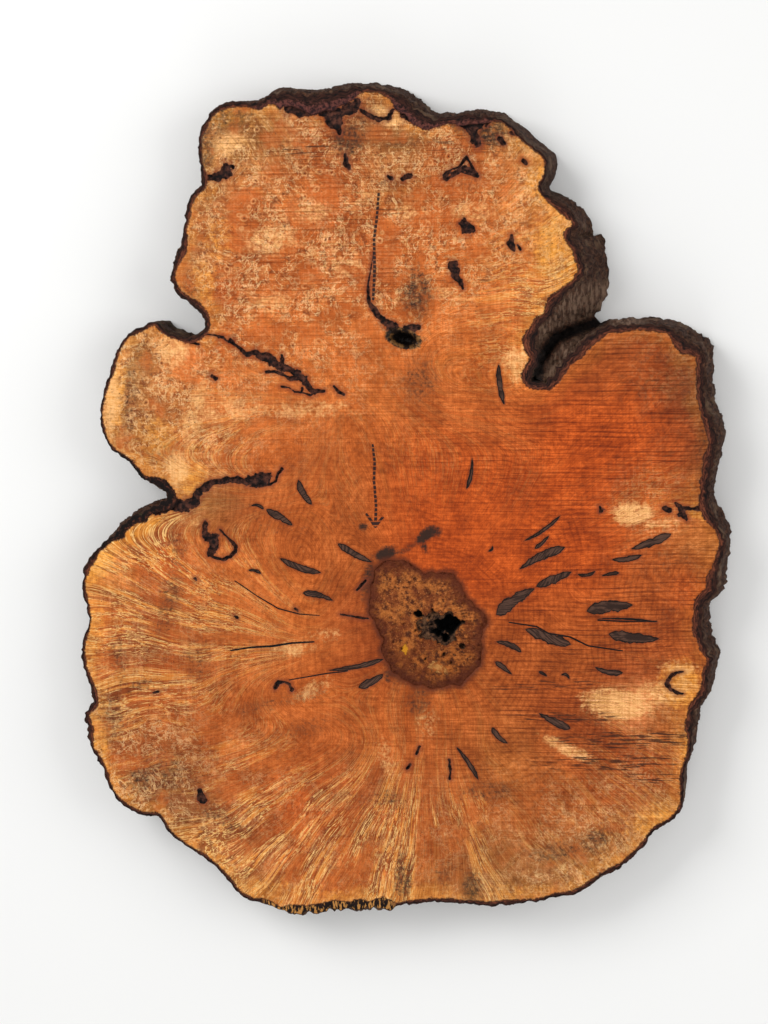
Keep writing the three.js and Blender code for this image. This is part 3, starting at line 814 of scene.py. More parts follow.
# Cream patches are part figure and part painted sheen, where the fibres stand up
CREAM_SHEENS = [                             # cream patches where the fibres stand up: as the stains
    (300, 160, 26, 15, 5, 1.0), (335, 146, 40, 6, 0, 0.6), (279, -120, 44, 20, -8, 1.0),
    (345, -100, 50, 18, 12, 0.7), (205, -186, 36, 9, -25, 0.8), (370, -66, 26, 12, 0, 0.6),
    (-230, 560, 40, 20, 0, 0.6), (-170, 600, 30, 16, 0, 0.5), (-120, 520, 36, 16, 0, 0.5),
    (-230, 470, 30, 16, 0, 0.5), (-60, 740, 22, 12, -20, 1.0), (-290, 700, 22, 14, 20, 0.7),
    (60, 600, 40, 18, 0, 0.45), (-90, 620, 40, 14, 0, 0.4), (-200, -40, 30, 12, 10, 0.55),
    (-150, -20, 24, 9, 0, 0.5), (-350, 150, 26, 12, -30, 0.4),
    (130, 380, 20, 24, 0, 0.7), (-175, -105, 30, 12, 25, 0.5), (-30, 600, 26, 12, 0, 0.5),
    (30, 480, 36, 12, -10, 0.4), (-345, 300, 14, 50, -14, 0.55), (-300, 310, 60, 16, 6, 0.5),
    (-180, 312, 70, 12, 2, 0.5), (-375, 400, 22, 22, 0, 0.7), (-470, 330, 12, 50, 0, 0.8),
    (-370, 225, 16, 24, 10, 0.8), (-60, -200, 12, 26, 10, 0.5), (0, -150, 16, 26, 0, 0.4),
]
GOLDS = [                              # golden swellings along the rim
    (195, 545, 34, 46, 10, 1.0), (215, 500, 20, 20, 0, 0.8), (170, 640, 26, 30, 0, 0.7),
    (-490, 100, 24, 50, -30, 1.0), (-430, 140, 40, 16, 30, 1.0), (-495, -20, 16, 50, 0, 0.5),
    (-490, -180, 14, 40, 10, 0.7), (-450, -250, 30, 14, -30, 0.5), (-200, -400, 110, 10, -8, 0.45),
    (-462, 350, 14, 60, 0, 0.8), (-400, 270, 24, 30, 20, 0.6), (-350, 210, 22, 26, 0, 0.7),
    (-310, 560, 22, 36, 0, 0.5), (-330, 500, 18, 30, 0, 0.6), (-300, 740, 30, 14, 0, 0.7),
    (370, -90, 26, 30, 0, 0.9), (385, -200, 16, 40, 0, 0.6), (330, -290, 40, 20, 30, 0.6),
    (400, 165, 20, 10, 0, 0.9), (100, -400, 90, 10, 5, 0.35),
]
BURNS = [                              # rows of black saw burn
    (300, -172, 95, 12, 2, 1.0), (270, -205, 100, 12, 1, 0.8), (210, -140, 70, 9, 0, 0.8),
    (330, -230, 60, 9, 2, 0.6), (170, -92, 80, 9, 3, 0.6), (330, 350, 70, 14, -3, 0.35),
    (330, 240, 80, 12, 0, 0.3), (60, 700, 60, 16, 0, 0.5), (-180, 690, 60, 12, 0, 0.5),
    (-100, 600, 80, 10, 0, 0.4), (60, 500, 70, 10, 0, 0.35), (-230, 480, 60, 9, 0, 0.35),
    (330, 90, 60, 9, 0, 0.35), (250, 30, 60, 8, 0, 0.3),
]


def patches(places, rows):
    """How strongly the listed soft ovals cover each place."""
    cover = np.zeros(len(places))
    for x, y, half_x, half_y, turn, strength in rows:
        apart = oval_distance(places, x, y, half_x, half_y, turn) / min(half_x, half_y)
        cover = np.maximum(cover, strength * ease(-apart, -0.9, 0.6))
    return cover


# %% [markdown]
# ## Writing it to the mesh
# A layer holds three numbers for each vertex, so what belongs together is grouped. The back face is sawn
# from the same wood, but it is drier and duller, and it gets no pockets, seams, holes or rot.

# %% Write the wood's layers
def edge_distance(places, outline):
    """Millimetres from each place to the outline, found with a search tree."""
    tree = KDTree(len(outline))
    for index, corner in enumerate(on_slab(outline)):
        tree.insert((*corner, 0), index)
    tree.balance()
    return np.array([tree.find((x, y, 0))[2] for x, y in places])


RING_COUNT = 50                        # growth rings from pith to bark
BACK_TONE = (0.80, 0.84, 0.92)         # the back face is drier and duller than the oiled front


def wood_layers(shape):
    """Every layer of numbers that the wood's shader reads, written to the mesh."""
    places = on_slab(np.array([vert.co.xy[:] for vert in shape.verts]))
    edge = edge_distance(places, wood_front)
    reach = np.linalg.norm(places, axis=1)
    rag = rag_of(places)
    rings = RING_COUNT * reach / (reach + edge)
    figure = soft_mix(places, FIGURE, np.array([row[3:6] for row in FIGURE], float))
    back = np.array([vert.co.z < low.z + 2 * mm for vert in shape.verts])[:, None]
    inside = np.column_stack([pocket_distance(places, rag), route_distance(places, SEAMS, rag),
                              heart_distance(places)])
    drawn = np.column_stack([route_distance(places, STROKES), route_distance(places, CRACKS),
                             oval_distance(places, *KNOT_HOLE)])
    layers = {
        "tone": tone_of(places) * np.where(back, BACK_TONE, 1),
        "inside": np.where(back, np.maximum(inside, 0) + (99, 99, 12), inside),
        "figure": figure,
        "flow": flow_of(places),
        "growth": np.column_stack([rings, edge, patches(places, STAINS)]),
        "patch": np.column_stack([patches(places, rows) for rows in (CREAM_SHEENS, GOLDS, BURNS)]),
        "drawn": np.where(back, 99, drawn),
    }
    for name, rows in layers.items():
        carry(shape, name, rows)


wood_layers(wood_mesh)
print("wood layers", list(wood_mesh.verts.layers.float_vector.keys()))


# %% [markdown]
# ## Wiring shaders
# All finishes are mixed from noise at the sizes found on real wood and bark. Two small helpers keep the
# wiring short: a shader adds nodes, and each node's output is a signal that adds and multiplies as a
# number does. Sizes are in millimetres, from the pith.

# %% Signals that add and multiply
TURN = 2 * np.pi                       # one whole wave of a sine


class Signal:
    """One output of a node. Vectors and colours are reckoned part by part."""

    def __init__(self, shader, socket):
        self.shader = shader
        self.socket = socket

    def reckon(self, operation, first, second=None):
        """A sum with this signal in it, as a new signal."""
        if self.socket.type == "VALUE":
            return self.shader.number(operation, first, second)
        if operation == "MULTIPLY" and isinstance(second, (int, float)):
            return self.shader.vector("SCALE", first, scale=second)
        return self.shader.vector(operation, first, second)

    def __add__(self, other):
        return self.reckon("ADD", self, other)

    def __radd__(self, other):
        return self.reckon("ADD", other, self)

    def __sub__(self, other):
        return self.reckon("SUBTRACT", self, other)

    def __rsub__(self, other):
        return self.reckon("SUBTRACT", other, self)

    def __mul__(self, other):
        return self.reckon("MULTIPLY", self, other)

    def __rmul__(self, other):
        return self.reckon("MULTIPLY", other, self)

    def __abs__(self):
        return self.reckon("ABSOLUTE", self)

    def coat(self, amount, red, green, blue):
        """This colour with a paint tone laid over it."""
        return self.shader.blend(amount, self, shade_of(red, green, blue))

    def darken(self, factor):
        """This colour times a number. Oiled wood also reddens as it darkens."""
        green = self.shader.number("POWER", factor, 1.3)
        blue = self.shader.number("POWER", factor, 2.0)
        return self.shader.vector("MULTIPLY", self, self.shader.join(factor, green, blue))


# %% [markdown]
# ## Materials in short calls
# A material is a tree of nodes. One call makes a node and feeds its inputs, and the methods below name
# the few kinds that the finishes use. Noise, and a rise from one value to another, do most of the work.

# %% A helper for shaders
class Shader:
    """A material whose nodes are made by short calls, fed with numbers or with signals."""

    def __init__(self, name):
        self.material = bpy.data.materials.new(name)
        self.material.use_nodes = True
        self.tree = self.material.node_tree
        self.tree.nodes.clear()
        output = self.tree.nodes.new("ShaderNodeOutputMaterial")
        self.surface = self.tree.nodes.new("ShaderNodeBsdfPrincipled")
        self.tree.links.new(self.surface.outputs[0], output.inputs[0])

    def wire(self, socket, value):
        """Feeds a socket with a number, a row of numbers or a signal."""
        if isinstance(value, Signal):
            self.tree.links.new(value.socket, socket)
        elif value is not None:
            row = np.ravel(value).tolist()
            if socket.type == "RGBA":
                row = row[:3] + [1.0]
            socket.default_value = row if len(row) > 1 else row[0]

    def node(self, kind, *values, **named):
        """A node of this kind, with its first sockets fed in order and others fed by name."""
        node = self.tree.nodes.new("ShaderNode" + kind)
        for socket, value in zip(node.inputs, values):
            self.wire(socket, value)
        for name, value in named.items():
            self.wire(node.inputs[name], value)
        return node

    def places(self):
        """Millimetres from the pith, right, up and out of the face."""
        metres = Signal(self, self.node("TexCoord").outputs["Object"])
        return (metres - pith[:]) * (1 / mm)

    def number(self, operation, *values):
        """A math node."""
        node = self.node("Math", *values)
        node.operation = operation
        return Signal(self, node.outputs[0])

    def sine(self, angle):
        """A wave, once each full turn of the angle."""
        return self.number("SINE", angle)

    def vector(self, operation, *values, scale=None):
        """A vector math node."""
        node = self.node("VectorMath", *values)
        node.operation = operation
        if scale is not None:
            self.wire(node.inputs["Scale"], scale)
        return Signal(self, node.outputs["Vector"])

    def layer(self, name):
        """The three numbers of a mesh layer."""
        node = self.node("Attribute")
        node.attribute_name = name
        return Signal(self, node.outputs["Vector"])

    def split(self, vector):
        """The three parts of a vector."""
        return [Signal(self, part) for part in self.node("SeparateXYZ", vector).outputs[:3]]

    def join(self, *parts):
        """A vector from three parts."""
        return Signal(self, self.node("CombineXYZ", *parts).outputs[0])

    def noise(self, places, width, detail=3, rough=0.55, colour=False):
        """Noise whose lumps are about this wide."""
        node = self.node("TexNoise", Vector=places, Scale=1 / width, Detail=detail, Roughness=rough)
        return Signal(self, node.outputs["Color" if colour else "Fac"])

    def cells(self, places, width):
        """Distance to the nearest of many scattered points, 0 at a point."""
        return Signal(self, self.node("TexVoronoi", Vector=places, Scale=1 / width).outputs["Distance"])

    def rise(self, value, start, end, low=0.0, high=1.0):
        """Runs smoothly from low to high while the value runs from start to end."""
        if start > end:
            start, end, low, high = end, start, high, low
        node = self.node("MapRange", value, start, end, low, high)
        node.interpolation_type = "SMOOTHSTEP"
        return Signal(self, node.outputs[0])

    def blend(self, amount, below, above):
        """Lays one colour over another."""
        node = self.node("Mix", amount)
        node.data_type = "RGBA"
        for socket, colour in zip([socket for socket in node.inputs if socket.type == "RGBA"],
                                  (below, above)):
            self.wire(socket, colour)
        return Signal(self, [socket for socket in node.outputs if socket.type == "RGBA"][0])

    def finish(self, colour, roughness, height, depth, specular=0.4):
        """Sets the surface. Height runs from 0 to 1 and is depth millimetres tall."""
        bump = self.node("Bump", Distance=depth * mm, Height=height)
        self.wire(self.surface.inputs["Base Color"], colour)
        self.wire(self.surface.inputs["Roughness"], roughness)
        self.wire(self.surface.inputs["Normal"], Signal(self, bump.outputs[0]))
        self.surface.inputs["Specular IOR Level"].default_value = specular
        return self.material


# %% [markdown]
# ## The figured face
# Oil brings out the figure: golden flames that fan out to the bark, tight curls and eyes in the lobes,
# fine growth rings, and the even ripple that a bandsaw leaves. Each is one layer over the base tone, so
# each has its own function, which takes the colour so far and gives back the next one.

# %% What the layers share
OIL = (1.0, 0.80, 0.52)                # the warm tint that oil gives, red to blue
SAW_PITCH = 6.7                        # from one ripple of the saw to the next, in millimetres


class WoodSignals:
    """The mesh layers and the noises that several finishes read. A finish adds what later ones need."""

    def __init__(self, s):
        self.places = s.places()
        self.x, self.y, self.z = s.split(self.places)
        self.flat = s.join(self.x, self.y, 0)
        self.pocket, self.seam, self.heart = s.split(s.layer("inside"))
        self.fan, self.curl, self.saw = s.split(s.layer("figure"))
        self.rings, self.edge, self.stain = s.split(s.layer("growth"))
        self.stroke, self.crack, self.hole = s.split(s.layer("drawn"))
        self.light, self.gold, self.burn = s.split(s.layer("patch"))
        half = (0.5, 0.5, 0.5)
        self.wander = s.noise(self.flat, 70, detail=3, colour=True) - half
        bend = s.noise(self.flat, 130, detail=1, colour=True) - half
        self.drift = self.flat + self.wander * 26
        self.flow = s.layer("flow") + bend * 3.2
        self.fine = self.flow * (8.0, 8.0, 1.8)
        self.fibre = s.noise(self.fine, 1, detail=3, rough=0.6)
        self.blotch = s.noise(self.drift, 55, detail=4)
        self.mottle = s.noise(self.flat, 9, detail=4, rough=0.65)
        self.pores = s.noise(self.flat, 1.6, detail=2)
        self.rag = s.noise(self.flat, 5, detail=4, rough=0.65) - 0.5
        self.figured = s.number("MINIMUM", self.curl + self.fan, 1.0)
        self.inside_pocket = self.pocket + self.rag * 1.4
        self.inside_seam = self.seam + self.rag * 2.4


# %% [markdown]
# ## Plain wood
# Under the figure lies plain wood. Sapwood is paler and lies in a torn band along the bark, with golden
# swellings. Growth rings show as fine dark lines, and fibres run along the flow. The oil's tint then
# multiplies the lot. The colours of the figure are mixed with the oil already in them.

# %% Sapwood, rings and fibres
def plain_wood(s, w):
    """The base tone, with sapwood, pores, growth rings and fibres, all oiled."""
    colour = s.layer("tone").darken(s.rise(w.blotch, 0.3, 0.7, 0.74, 1.24))
    hem = w.edge + (w.blotch - 0.5) * 60 + w.rag * 14
    pale = s.rise(hem, 24, 2) * (0.1 + w.figured * 0.45)
    colour = colour.coat(pale, 214, 150, 76)
    golden = s.rise(w.gold + (w.mottle - 0.5) * 1.2, 0.2, 0.9) * 0.8
    colour = colour.coat(golden, 232, 170, 82)
    colour = colour.darken(s.rise(w.mottle, 0.3, 0.7, 0.78, 1.2))
    colour = colour.darken(s.rise(w.pores, 0.3, 0.7, 0.88, 1.1))
    line = s.sine((w.rings + w.blotch * 2.2) * TURN)
    plain = 1 - 0.75 * w.figured
    ring_strength = s.rise(s.noise(w.flat, 90, detail=2), 0.38, 0.6, 0.03, 0.2) * plain
    colour = colour.darken(1 + s.rise(line, 0.1, 1, 0, -1) * ring_strength)
    colour = colour.darken(s.rise(w.fibre, 0.3, 0.7, 0.8, 1.17)) * OIL
    return colour


# %% [markdown]
# ## Flames
# Where the fibres tilt up out of the cut they catch the light. In the fans they make long tongues in
# bundles, edged with pale threads, each with a dark side. The threads are drawn where a stretched noise
# crosses its middle value, which gives long thin lines that never end abruptly.

# %% Flames in the fans
def flames(s, w, colour):
    """Golden tongues that fan out to the bark."""
    flame = s.noise(w.flow * (2.6, 2.6, 0.8), 1, detail=4, rough=0.55)
    thread_noise = s.noise(w.flow * (4.2, 4.2, 1.1), 1, detail=3, rough=0.55)
    thread = s.rise(abs(thread_noise - 0.5), 0.036, 0.008)
    broad = s.noise(w.flow * (0.8, 0.8, 0.6), 1, detail=3)
    bundle = s.rise(s.noise(w.flow * (0.34, 0.34, 0.4), 1, detail=2), 0.42, 0.56)
    fan_here = w.fan * (0.12 + bundle * 0.88)
    w.lit = s.rise(flame, 0.51, 0.58) * fan_here
    shadow = s.rise(flame, 0.49, 0.4) * fan_here
    colour = colour.darken(1 + fan_here * s.rise(broad, 0.35, 0.65, -0.34, 0.28))
    colour = colour.coat(shadow * 0.7, 124, 56, 18)
    colour = colour.coat(w.lit * 0.62, 236, 150, 62)
    colour = colour.coat(thread * fan_here * 0.92, 250, 200, 124)
    return colour


# %% [markdown]
# ## Curls and bird's eyes
# In the lobes the fibres twist round buds that never grew out. Each bud leaves an eye with a dark middle,
# and the grain curls round it. Rough noise gives the knobs, the line where a noise crosses its middle
# gives the crests, and cells give the eyes. Crests and hairs get painted highlights over the figure.

# %% Curls in the lobes
def curls_and_eyes(s, w, colour):
    """Tight curls, bird's eyes, painted highlights, then cream patches of painted sheen with silky lines."""
    swirl = w.flat + w.wander * 60
    w.curls = s.noise(swirl, 17, detail=5, rough=0.68)
    crest_highlight = s.rise(abs(w.curls - 0.5), 0.035, 0.0)
    hair = s.noise(swirl * (0.6, 1.5, 1), 7, detail=3, rough=0.6)
    w.hairs = s.rise(abs(hair - 0.5), 0.03, 0.0)
    knob = s.noise(w.flat + (400, 0, 0), 12, detail=5, rough=0.72)
    cloudy = s.noise(w.drift + (0, 900, 0), 42, detail=4)
    curl_here = w.curl * s.rise(cloudy, 0.4, 0.58, 0.2, 1.0)
    eyes = s.cells(w.drift, 15)
    eye_ring = s.rise(eyes, 0.16, 0.24) * s.rise(eyes, 0.36, 0.26)
    eye_here = w.curl * s.rise(s.noise(w.flat, 48, detail=2), 0.47, 0.58)
    colour = colour.coat(w.curl * s.rise(cloudy, 0.48, 0.36, 0, 0.55), 196, 96, 36)
    colour = colour.coat(w.curl * s.rise(cloudy, 0.53, 0.68, 0, 0.42), 222, 140, 82)
    colour = colour.coat(curl_here * s.rise(knob, 0.51, 0.38) * 0.85, 112, 50, 20)
    colour = colour.coat(curl_here * s.rise(knob, 0.54, 0.65) * 0.42, 232, 158, 84)
    # Painted highlights: the curls' crests and hairs are laid on pale
    colour = colour.coat(curl_here * crest_highlight * 0.68, 252, 206, 146)
    colour = colour.coat(curl_here * w.hairs * 0.34, 250, 192, 126)
    colour = colour.coat(eye_here * eye_ring * 0.45, 240, 178, 116)
    colour = colour.coat(eye_here * s.rise(eyes, 0.14, 0.05) * 0.8, 92, 44, 24)
    # Painted sheen: cream patches where the fibres stand up, with silky lines in them
    torn = w.light + (w.curls - 0.5) * 1.2 + w.rag * 1.2
    silk = s.rise(w.hairs * 0.5 + w.fibre, 0.35, 0.65, 0.35, 1.0)
    colour = colour.coat(s.rise(torn, 0.25, 0.9) * silk, 250, 188, 120)
    return colour


# %% [markdown]
# ## Marks of the saw
# A bandsaw leaves an even ripple with scratches along it, and it burns hard wood in short dashes. A
# sine gives the ripple, and noise stretched along the cut gives the scratches and the dashes.

# %% Ripple, scratches and burns
def saw_marks(s, w, colour):
    """The ripple across the whole face, with fine scratches, and rows of black burn."""
    saw_y = w.y - 0.012 * w.x + s.noise(w.flat, 160, detail=2) * 14
    w.ripple = s.sine(saw_y * (TURN / SAW_PITCH))
    uneven = s.noise(w.places * (0.012, 0.09, 0), 1, detail=2)
    w.scratch = s.noise(w.places * (0.01, 0.42, 0), 1, detail=4, rough=0.7)
    cross = s.noise(w.places * (0.34, 0.012, 0), 1, detail=3, rough=0.6)
    w.groove = w.saw * (0.3 + w.saw * 0.7) * s.rise(w.ripple, 0.1, 1.0)
    w.groove = w.groove * s.rise(uneven, 0.38, 0.62, 0.15, 1.0)
    colour = colour.darken(1 - 0.44 * w.groove)
    colour = colour.darken(1 + w.saw * s.rise(w.scratch, 0.51, 0.36, 0, -0.42))
    colour = colour.darken(1 + w.saw * s.rise(w.scratch, 0.53, 0.68, 0, 0.4))
    colour = colour.darken(s.rise(cross, 0.3, 0.7, 0.9, 1.08))
    dash = s.noise(w.places * (0.028, 0.34, 0), 1, detail=3, rough=0.6)
    burnt = s.rise(dash + w.burn * 0.14, 0.6, 0.68) * s.rise(w.burn, 0.05, 0.6)
    colour = colour.coat(burnt * 0.85, 50, 24, 14)
    return colour


# %% [markdown]
# ## Stains
# Grey stains have torn edges, dark specks scatter over the figured wood, and the wood darkens in a line
# along the bark. They lie over the figure and the saw's marks, so they come after both.

# %% Stains and specks
def stains(s, w, colour):
    """Grey stains with torn edges, scattered specks and a dark line along the bark."""
    grime = (w.mottle - 0.5) * 1.3 + w.rag + (w.scratch - 0.5) * 0.7
    stained = s.rise(w.stain + grime, 0.12, 0.95, 0, 0.97)
    colour = colour.coat(stained * s.rise(w.stain, 0.0, 0.2), 42, 29, 22)
    specks = s.rise(s.cells(w.drift * (1, 1.4, 1), 7), 0.17, 0.09)
    speckled = specks * (0.08 + w.figured * 0.7) * s.rise(s.noise(w.flat, 30, detail=2), 0.46, 0.54)
    colour = colour.coat(speckled, 64, 28, 14)
    colour = colour.coat(s.rise(w.edge + w.rag * 7, 2.6, 0.4, 0, 0.9), 50, 26, 18)
    return colour


# %% [markdown]
# ## Pockets, seams and holes
# Last come the things that are sunk into the face or drawn on it. Each reads its own distance, frayed
# a little by noise, so its edge is crisp however coarse the mesh is.
# Deep in the holes the colour is darkened as painted shade.

# %% Everything sunk or drawn
def sunk_places(s, w, colour):
    """The rot's red-brown halo, bark pockets, seams, holes, cracks, crayon, and painted shade in holes."""
    halo = s.rise(w.heart + w.rag * 12, 10, -1, 0, 0.85)
    colour = colour.coat(halo, 86, 36, 16)
    colour = colour.coat(s.rise(w.inside_pocket, 4.0, 0.2, 0, 0.6), 112, 48, 20)
    colour = colour.coat(s.rise(w.inside_pocket, 0.6, 0.0), 26, 17, 14)
    veins = s.noise(w.fine * (0.5, 0.5, 1.4), 1, detail=3)
    grey = s.blend(s.rise(veins, 0.4, 0.6), shade_of(50, 34, 28), shade_of(88, 62, 50))
    colour = s.blend(s.rise(w.inside_pocket, -0.8, -1.6), colour, grey)
    colour = colour.coat(s.rise(w.inside_seam, 7.0, 0.3, 0, 0.6), 120, 54, 30)
    bark = s.blend(s.rise(w.mottle, 0.4, 0.68), shade_of(22, 15, 15), shade_of(92, 54, 42))
    colour = s.blend(s.rise(w.inside_seam, 0.4, -0.2), colour, bark)
    debris = s.blend(s.rise(w.mottle, 0.42, 0.6), shade_of(34, 22, 16), shade_of(132, 92, 52))
    colour = s.blend(s.rise(w.hole + w.rag * 7, 3.0, 0.5), colour, debris)
    colour = colour.coat(s.rise(w.crack + w.rag * 0.8, 0.7, 0.0), 24, 15, 14)
    wax = s.rise(w.stroke + w.rag * 1.6, 0.5, -0.3)
    dashes = s.rise(w.ripple, 0.95, 0.3, 0.3, 1.0) * wax
    colour = colour.coat(dashes * 0.95, 24, 19, 22)
    # Painted shade: deep in the holes the colour goes nearly black, but not on the back face
    painted_hole_shade = s.rise(w.z, -7, -17) * s.rise(w.z, -74, -60)      # in the holes, not on the back face
    return colour.coat(painted_hole_shade, 18, 11, 9)


# %% [markdown]
# ## The whole finish
# The layers go on in the order in which they came about: growth, the saw's marks, stains, then whatever
# is sunk. Bark in pockets and seams is duller than oiled wood, and the bump carries the saw's ripple.

# %% Shade the wood
def wood_material():
    """Freshly oiled burl, with its pockets, seams, stains and saw marks."""
    s = Shader("oiled_burl")
    w = WoodSignals(s)
    colour = plain_wood(s, w)
    for layer in (flames, curls_and_eyes, saw_marks, stains, sunk_places):
        colour = layer(s, w, colour)
    dull = s.rise(s.number("MINIMUM", w.inside_pocket, w.inside_seam), 1, -1, 0, 0.85)
    rough = s.number("MAXIMUM", s.rise(w.mottle, 0.3, 0.7, 0.44, 0.6), dull)
    height = (w.saw * w.scratch * 0.5 - w.groove * 0.5 + w.mottle * 0.35 + w.pores * 0.12
              + w.lit * 0.25 + w.fibre * 0.2)
    return s.finish(colour, rough, height, 0.8, specular=0.16)


# %% [markdown]
# ## Bark across the fork
# Between two lobes the bark has grown right across the fork, as a lump that slopes away outward with a
# crease along its middle, painted black as shade. It is made as the sawn wood is, from a block whose top
# is then lowered, and is joined to the band so that all the bark is one mesh.

# %% Bark in the throat of the fork
THROAT = [                             # the throat's outline, and the crease along its middle
    (158, 357), (176, 349), (208, 385), (238, 417), (254, 439), (224, 473), (198, 473), (166, 435),
    (148, 405),
]
CREASE = [[(158, 352, 0), (164, 386, 0), (188, 418, 0), (222, 432, 0), (254, 442, 0)]]


def throat_bark():
    """The lump of bark that has grown across the fork. It slopes away outward, with a crease."""
    plan = np.array([spot(*corner) for corner in THROAT])
    lump = sawn_block(plan, plan, high.z - 6 * mm, low.z + 5 * mm, 2.2 * mm)
    tops = [vert for vert in lump.verts if vert.co.z > high.z - 7 * mm]
    metres = np.array([vert.co[:] for vert in tops])
    places = on_slab(metres[:, :2])
    outward = np.linalg.norm(places - np.array(THROAT[0]), axis=1)
    drop = 2 + 0.34 * outward + 0.8 * np.maximum(outward - 92, 0)
    drop += 24 * ease(outward, 14, 40) * np.exp(-(route_distance(places, CREASE) / 9) ** 2)
    drop += 9 * cloud(metres, 16 * mm, seed=9) + 4 * np.abs(cloud(metres, 7 * mm, seed=10))
    for vert, fall in zip(tops, drop):
        vert.co.z = max(high.z - max(fall, 1.5) * mm, low.z + 6 * mm)
    for face in lump.faces:
        face.smooth = True
    return lump


def join_into(shape, other):
    """Adds another mesh to this one."""
    carrier = bpy.data.meshes.new("carrier")
    other.to_mesh(carrier)
    other.free()
    shape.from_mesh(carrier)
    bpy.data.meshes.remove(carrier)


join_into(bark_mesh, throat_bark())
print("bark with throat", len(bark_mesh.faces))


# %% [markdown]
# ## Knowing the cut from the crust
# The shader must know where bark was sawn and where it is natural crust. The grid knows that, but the
# merged mesh has lost the grid's order, so each vertex looks up its place in a search tree. The lump in
# the fork isn't in the grid, and counts as crust.

# %% Write the bark's layers
def bark_layers(shape, places):
    """How far across the cut each vertex lies, whether it's cut at all, and the bark's depth."""
    around, section = places.shape[:2]
    across = np.zeros((around, section))
    cut = np.zeros((around, section))
    across[:, WALL_STEPS:WALL_STEPS + RIM_STEPS + 1] = np.linspace(0, 1, RIM_STEPS + 1)
    across[:, WALL_STEPS + RIM_STEPS + 1:] = np.linspace(1, 0, RIM_STEPS + 1)[:-1]
    cut[:, WALL_STEPS + 1:] = 1
    deep = np.broadcast_to(depth[:, None] / mm, (around, section))
    known = np.stack([across, cut, deep], axis=2).reshape(-1, 3)
    tree = KDTree(len(known))
    for index, place in enumerate(places.reshape(-1, 3)):
        tree.insert(place, index)
    tree.balance()
    rows = []
    for vert in shape.verts:
        _, index, apart = tree.find(vert.co)
        rows.append(known[index] if apart < 1e-6 else (0, 0, 0))
    carry(shape, "band", rows)
    spots = on_slab(np.array([vert.co.xy[:] for vert in shape.verts]))
    crease = route_distance(spots, CREASE)
    carry(shape, "crease", np.repeat(crease[:, None], 3, axis=1))


bark_layers(bark_mesh, ring)


# %% [markdown]
# ## The look of bark
# Outside, burl bark is a dark corky crust with grey bloom, and some moss on one side. Where the saw
# crossed it, thin layers show, red-brown inside and nearly black outside. One material does both, and
# the layer written above decides which is seen.

# %% Shade the bark
def bark_material():
    """Corky burl bark, with its layered cut edge."""
    s = Shader("burl_bark")
    places = s.places()
    x, y, z = s.split(places)
    across, cut, deep = s.split(s.layer("band"))
    crumbs = s.noise(places, 5, detail=5, rough=0.7)
    lumps = s.noise(places, 30, detail=4, rough=0.6)
    flakes = s.cells(places * (1, 1, 0.45), 9)
    colour = s.blend(s.rise(crumbs, 0.36, 0.66), shade_of(20, 13, 11), shade_of(96, 62, 44))
    colour = colour.coat(s.rise(flakes, 0.15, 0.5, 0.0, 0.6), 46, 28, 21)
    colour = colour.coat(s.rise(lumps, 0.52, 0.68, 0, 0.4), 122, 98, 76)
    mossy = s.noise(places, 16, detail=5, rough=0.7)
    moss = s.rise(mossy, 0.57, 0.64) * s.rise(x, -280, -360, 0.1, 0.6)
    colour = colour.coat(moss, 58, 58, 34)

    # Painted light and shade in the throat: its flanks are grey-brown bark in streaks, painted lighter
    # as if lit, and its crease is painted black as shade
    crease = s.split(s.layer("crease"))[0]
    grain = s.noise(places * (0.24, 0.05, 0.05), 1, detail=4, rough=0.65)
    lit_flank = s.rise(crease, 8, 18) * s.rise(crease, 70, 45) * s.rise(z, -1, -6)
    colour = colour.coat(lit_flank * s.rise(grain, 0.42, 0.62, 0.1, 0.85), 126, 100, 82)
    colour = colour.coat(s.rise(crease + crumbs * 10, 16, 9, 0, 0.9), 10, 8, 8)

    wavy = across * deep + crumbs * 4
    layered = s.noise(s.join(wavy, x * 0.12, y * 0.12), 1.3, detail=4)
    inner = s.blend(s.rise(layered, 0.36, 0.64), shade_of(54, 25, 18), shade_of(116, 62, 42))
    outer = s.blend(s.rise(layered, 0.36, 0.64), shade_of(16, 10, 10), shade_of(60, 33, 25))
    purple = s.blend(s.rise(crumbs, 0.4, 0.62), shade_of(40, 24, 26), shade_of(104, 58, 50))
    inner = s.blend(s.rise(y, 690, 735) * s.rise(deep, 8, 14), inner, purple)
    border = across + (crumbs - 0.5) * 1.1
    sawn = s.blend(s.rise(border, 0.42, 0.72), outer, inner)
    sawn = sawn.coat(s.rise(across, 0.86, 1.0, 0, 0.7), 38, 20, 15)
    waist = s.rise(x, -335, -385) * s.rise(y, 60, 130) * s.rise(y, 260, 220)
    sawn = sawn.coat(waist * s.rise(crumbs, 0.62, 0.5, 0.2, 0.9), 16, 12, 11)
    strokes = s.noise(places * (0.26, 0.07, 0.05), 1, detail=3, rough=0.6)
    foot = s.rise(y, -380, -400) * s.rise(x, -250, -235) * s.rise(x, -40, -60)
    hatch = s.blend(s.rise(strokes, 0.45, 0.5), shade_of(184, 128, 66), shade_of(20, 14, 12))
    sawn = s.blend(foot * 0.92, sawn, hatch)
    colour = s.blend(s.rise(cut, 0.3, 0.7), colour, sawn)
    height = crumbs * 0.7 + flakes * 0.25 + layered * cut * 0.3
    return s.finish(colour, s.rise(crumbs, 0.3, 0.7, 0.92, 0.78), height, 1.8, specular=0.15)


# %% [markdown]
# ## The look of rot
# Brown rot is spongy, mottled and dull. It is darker and redder next to sound wood, and painted shade
# turns it black low in its hollows. Noise gives the crumbs, and the depth below the saw's plane tells
# where debris lies and where the painted shade darkens it.

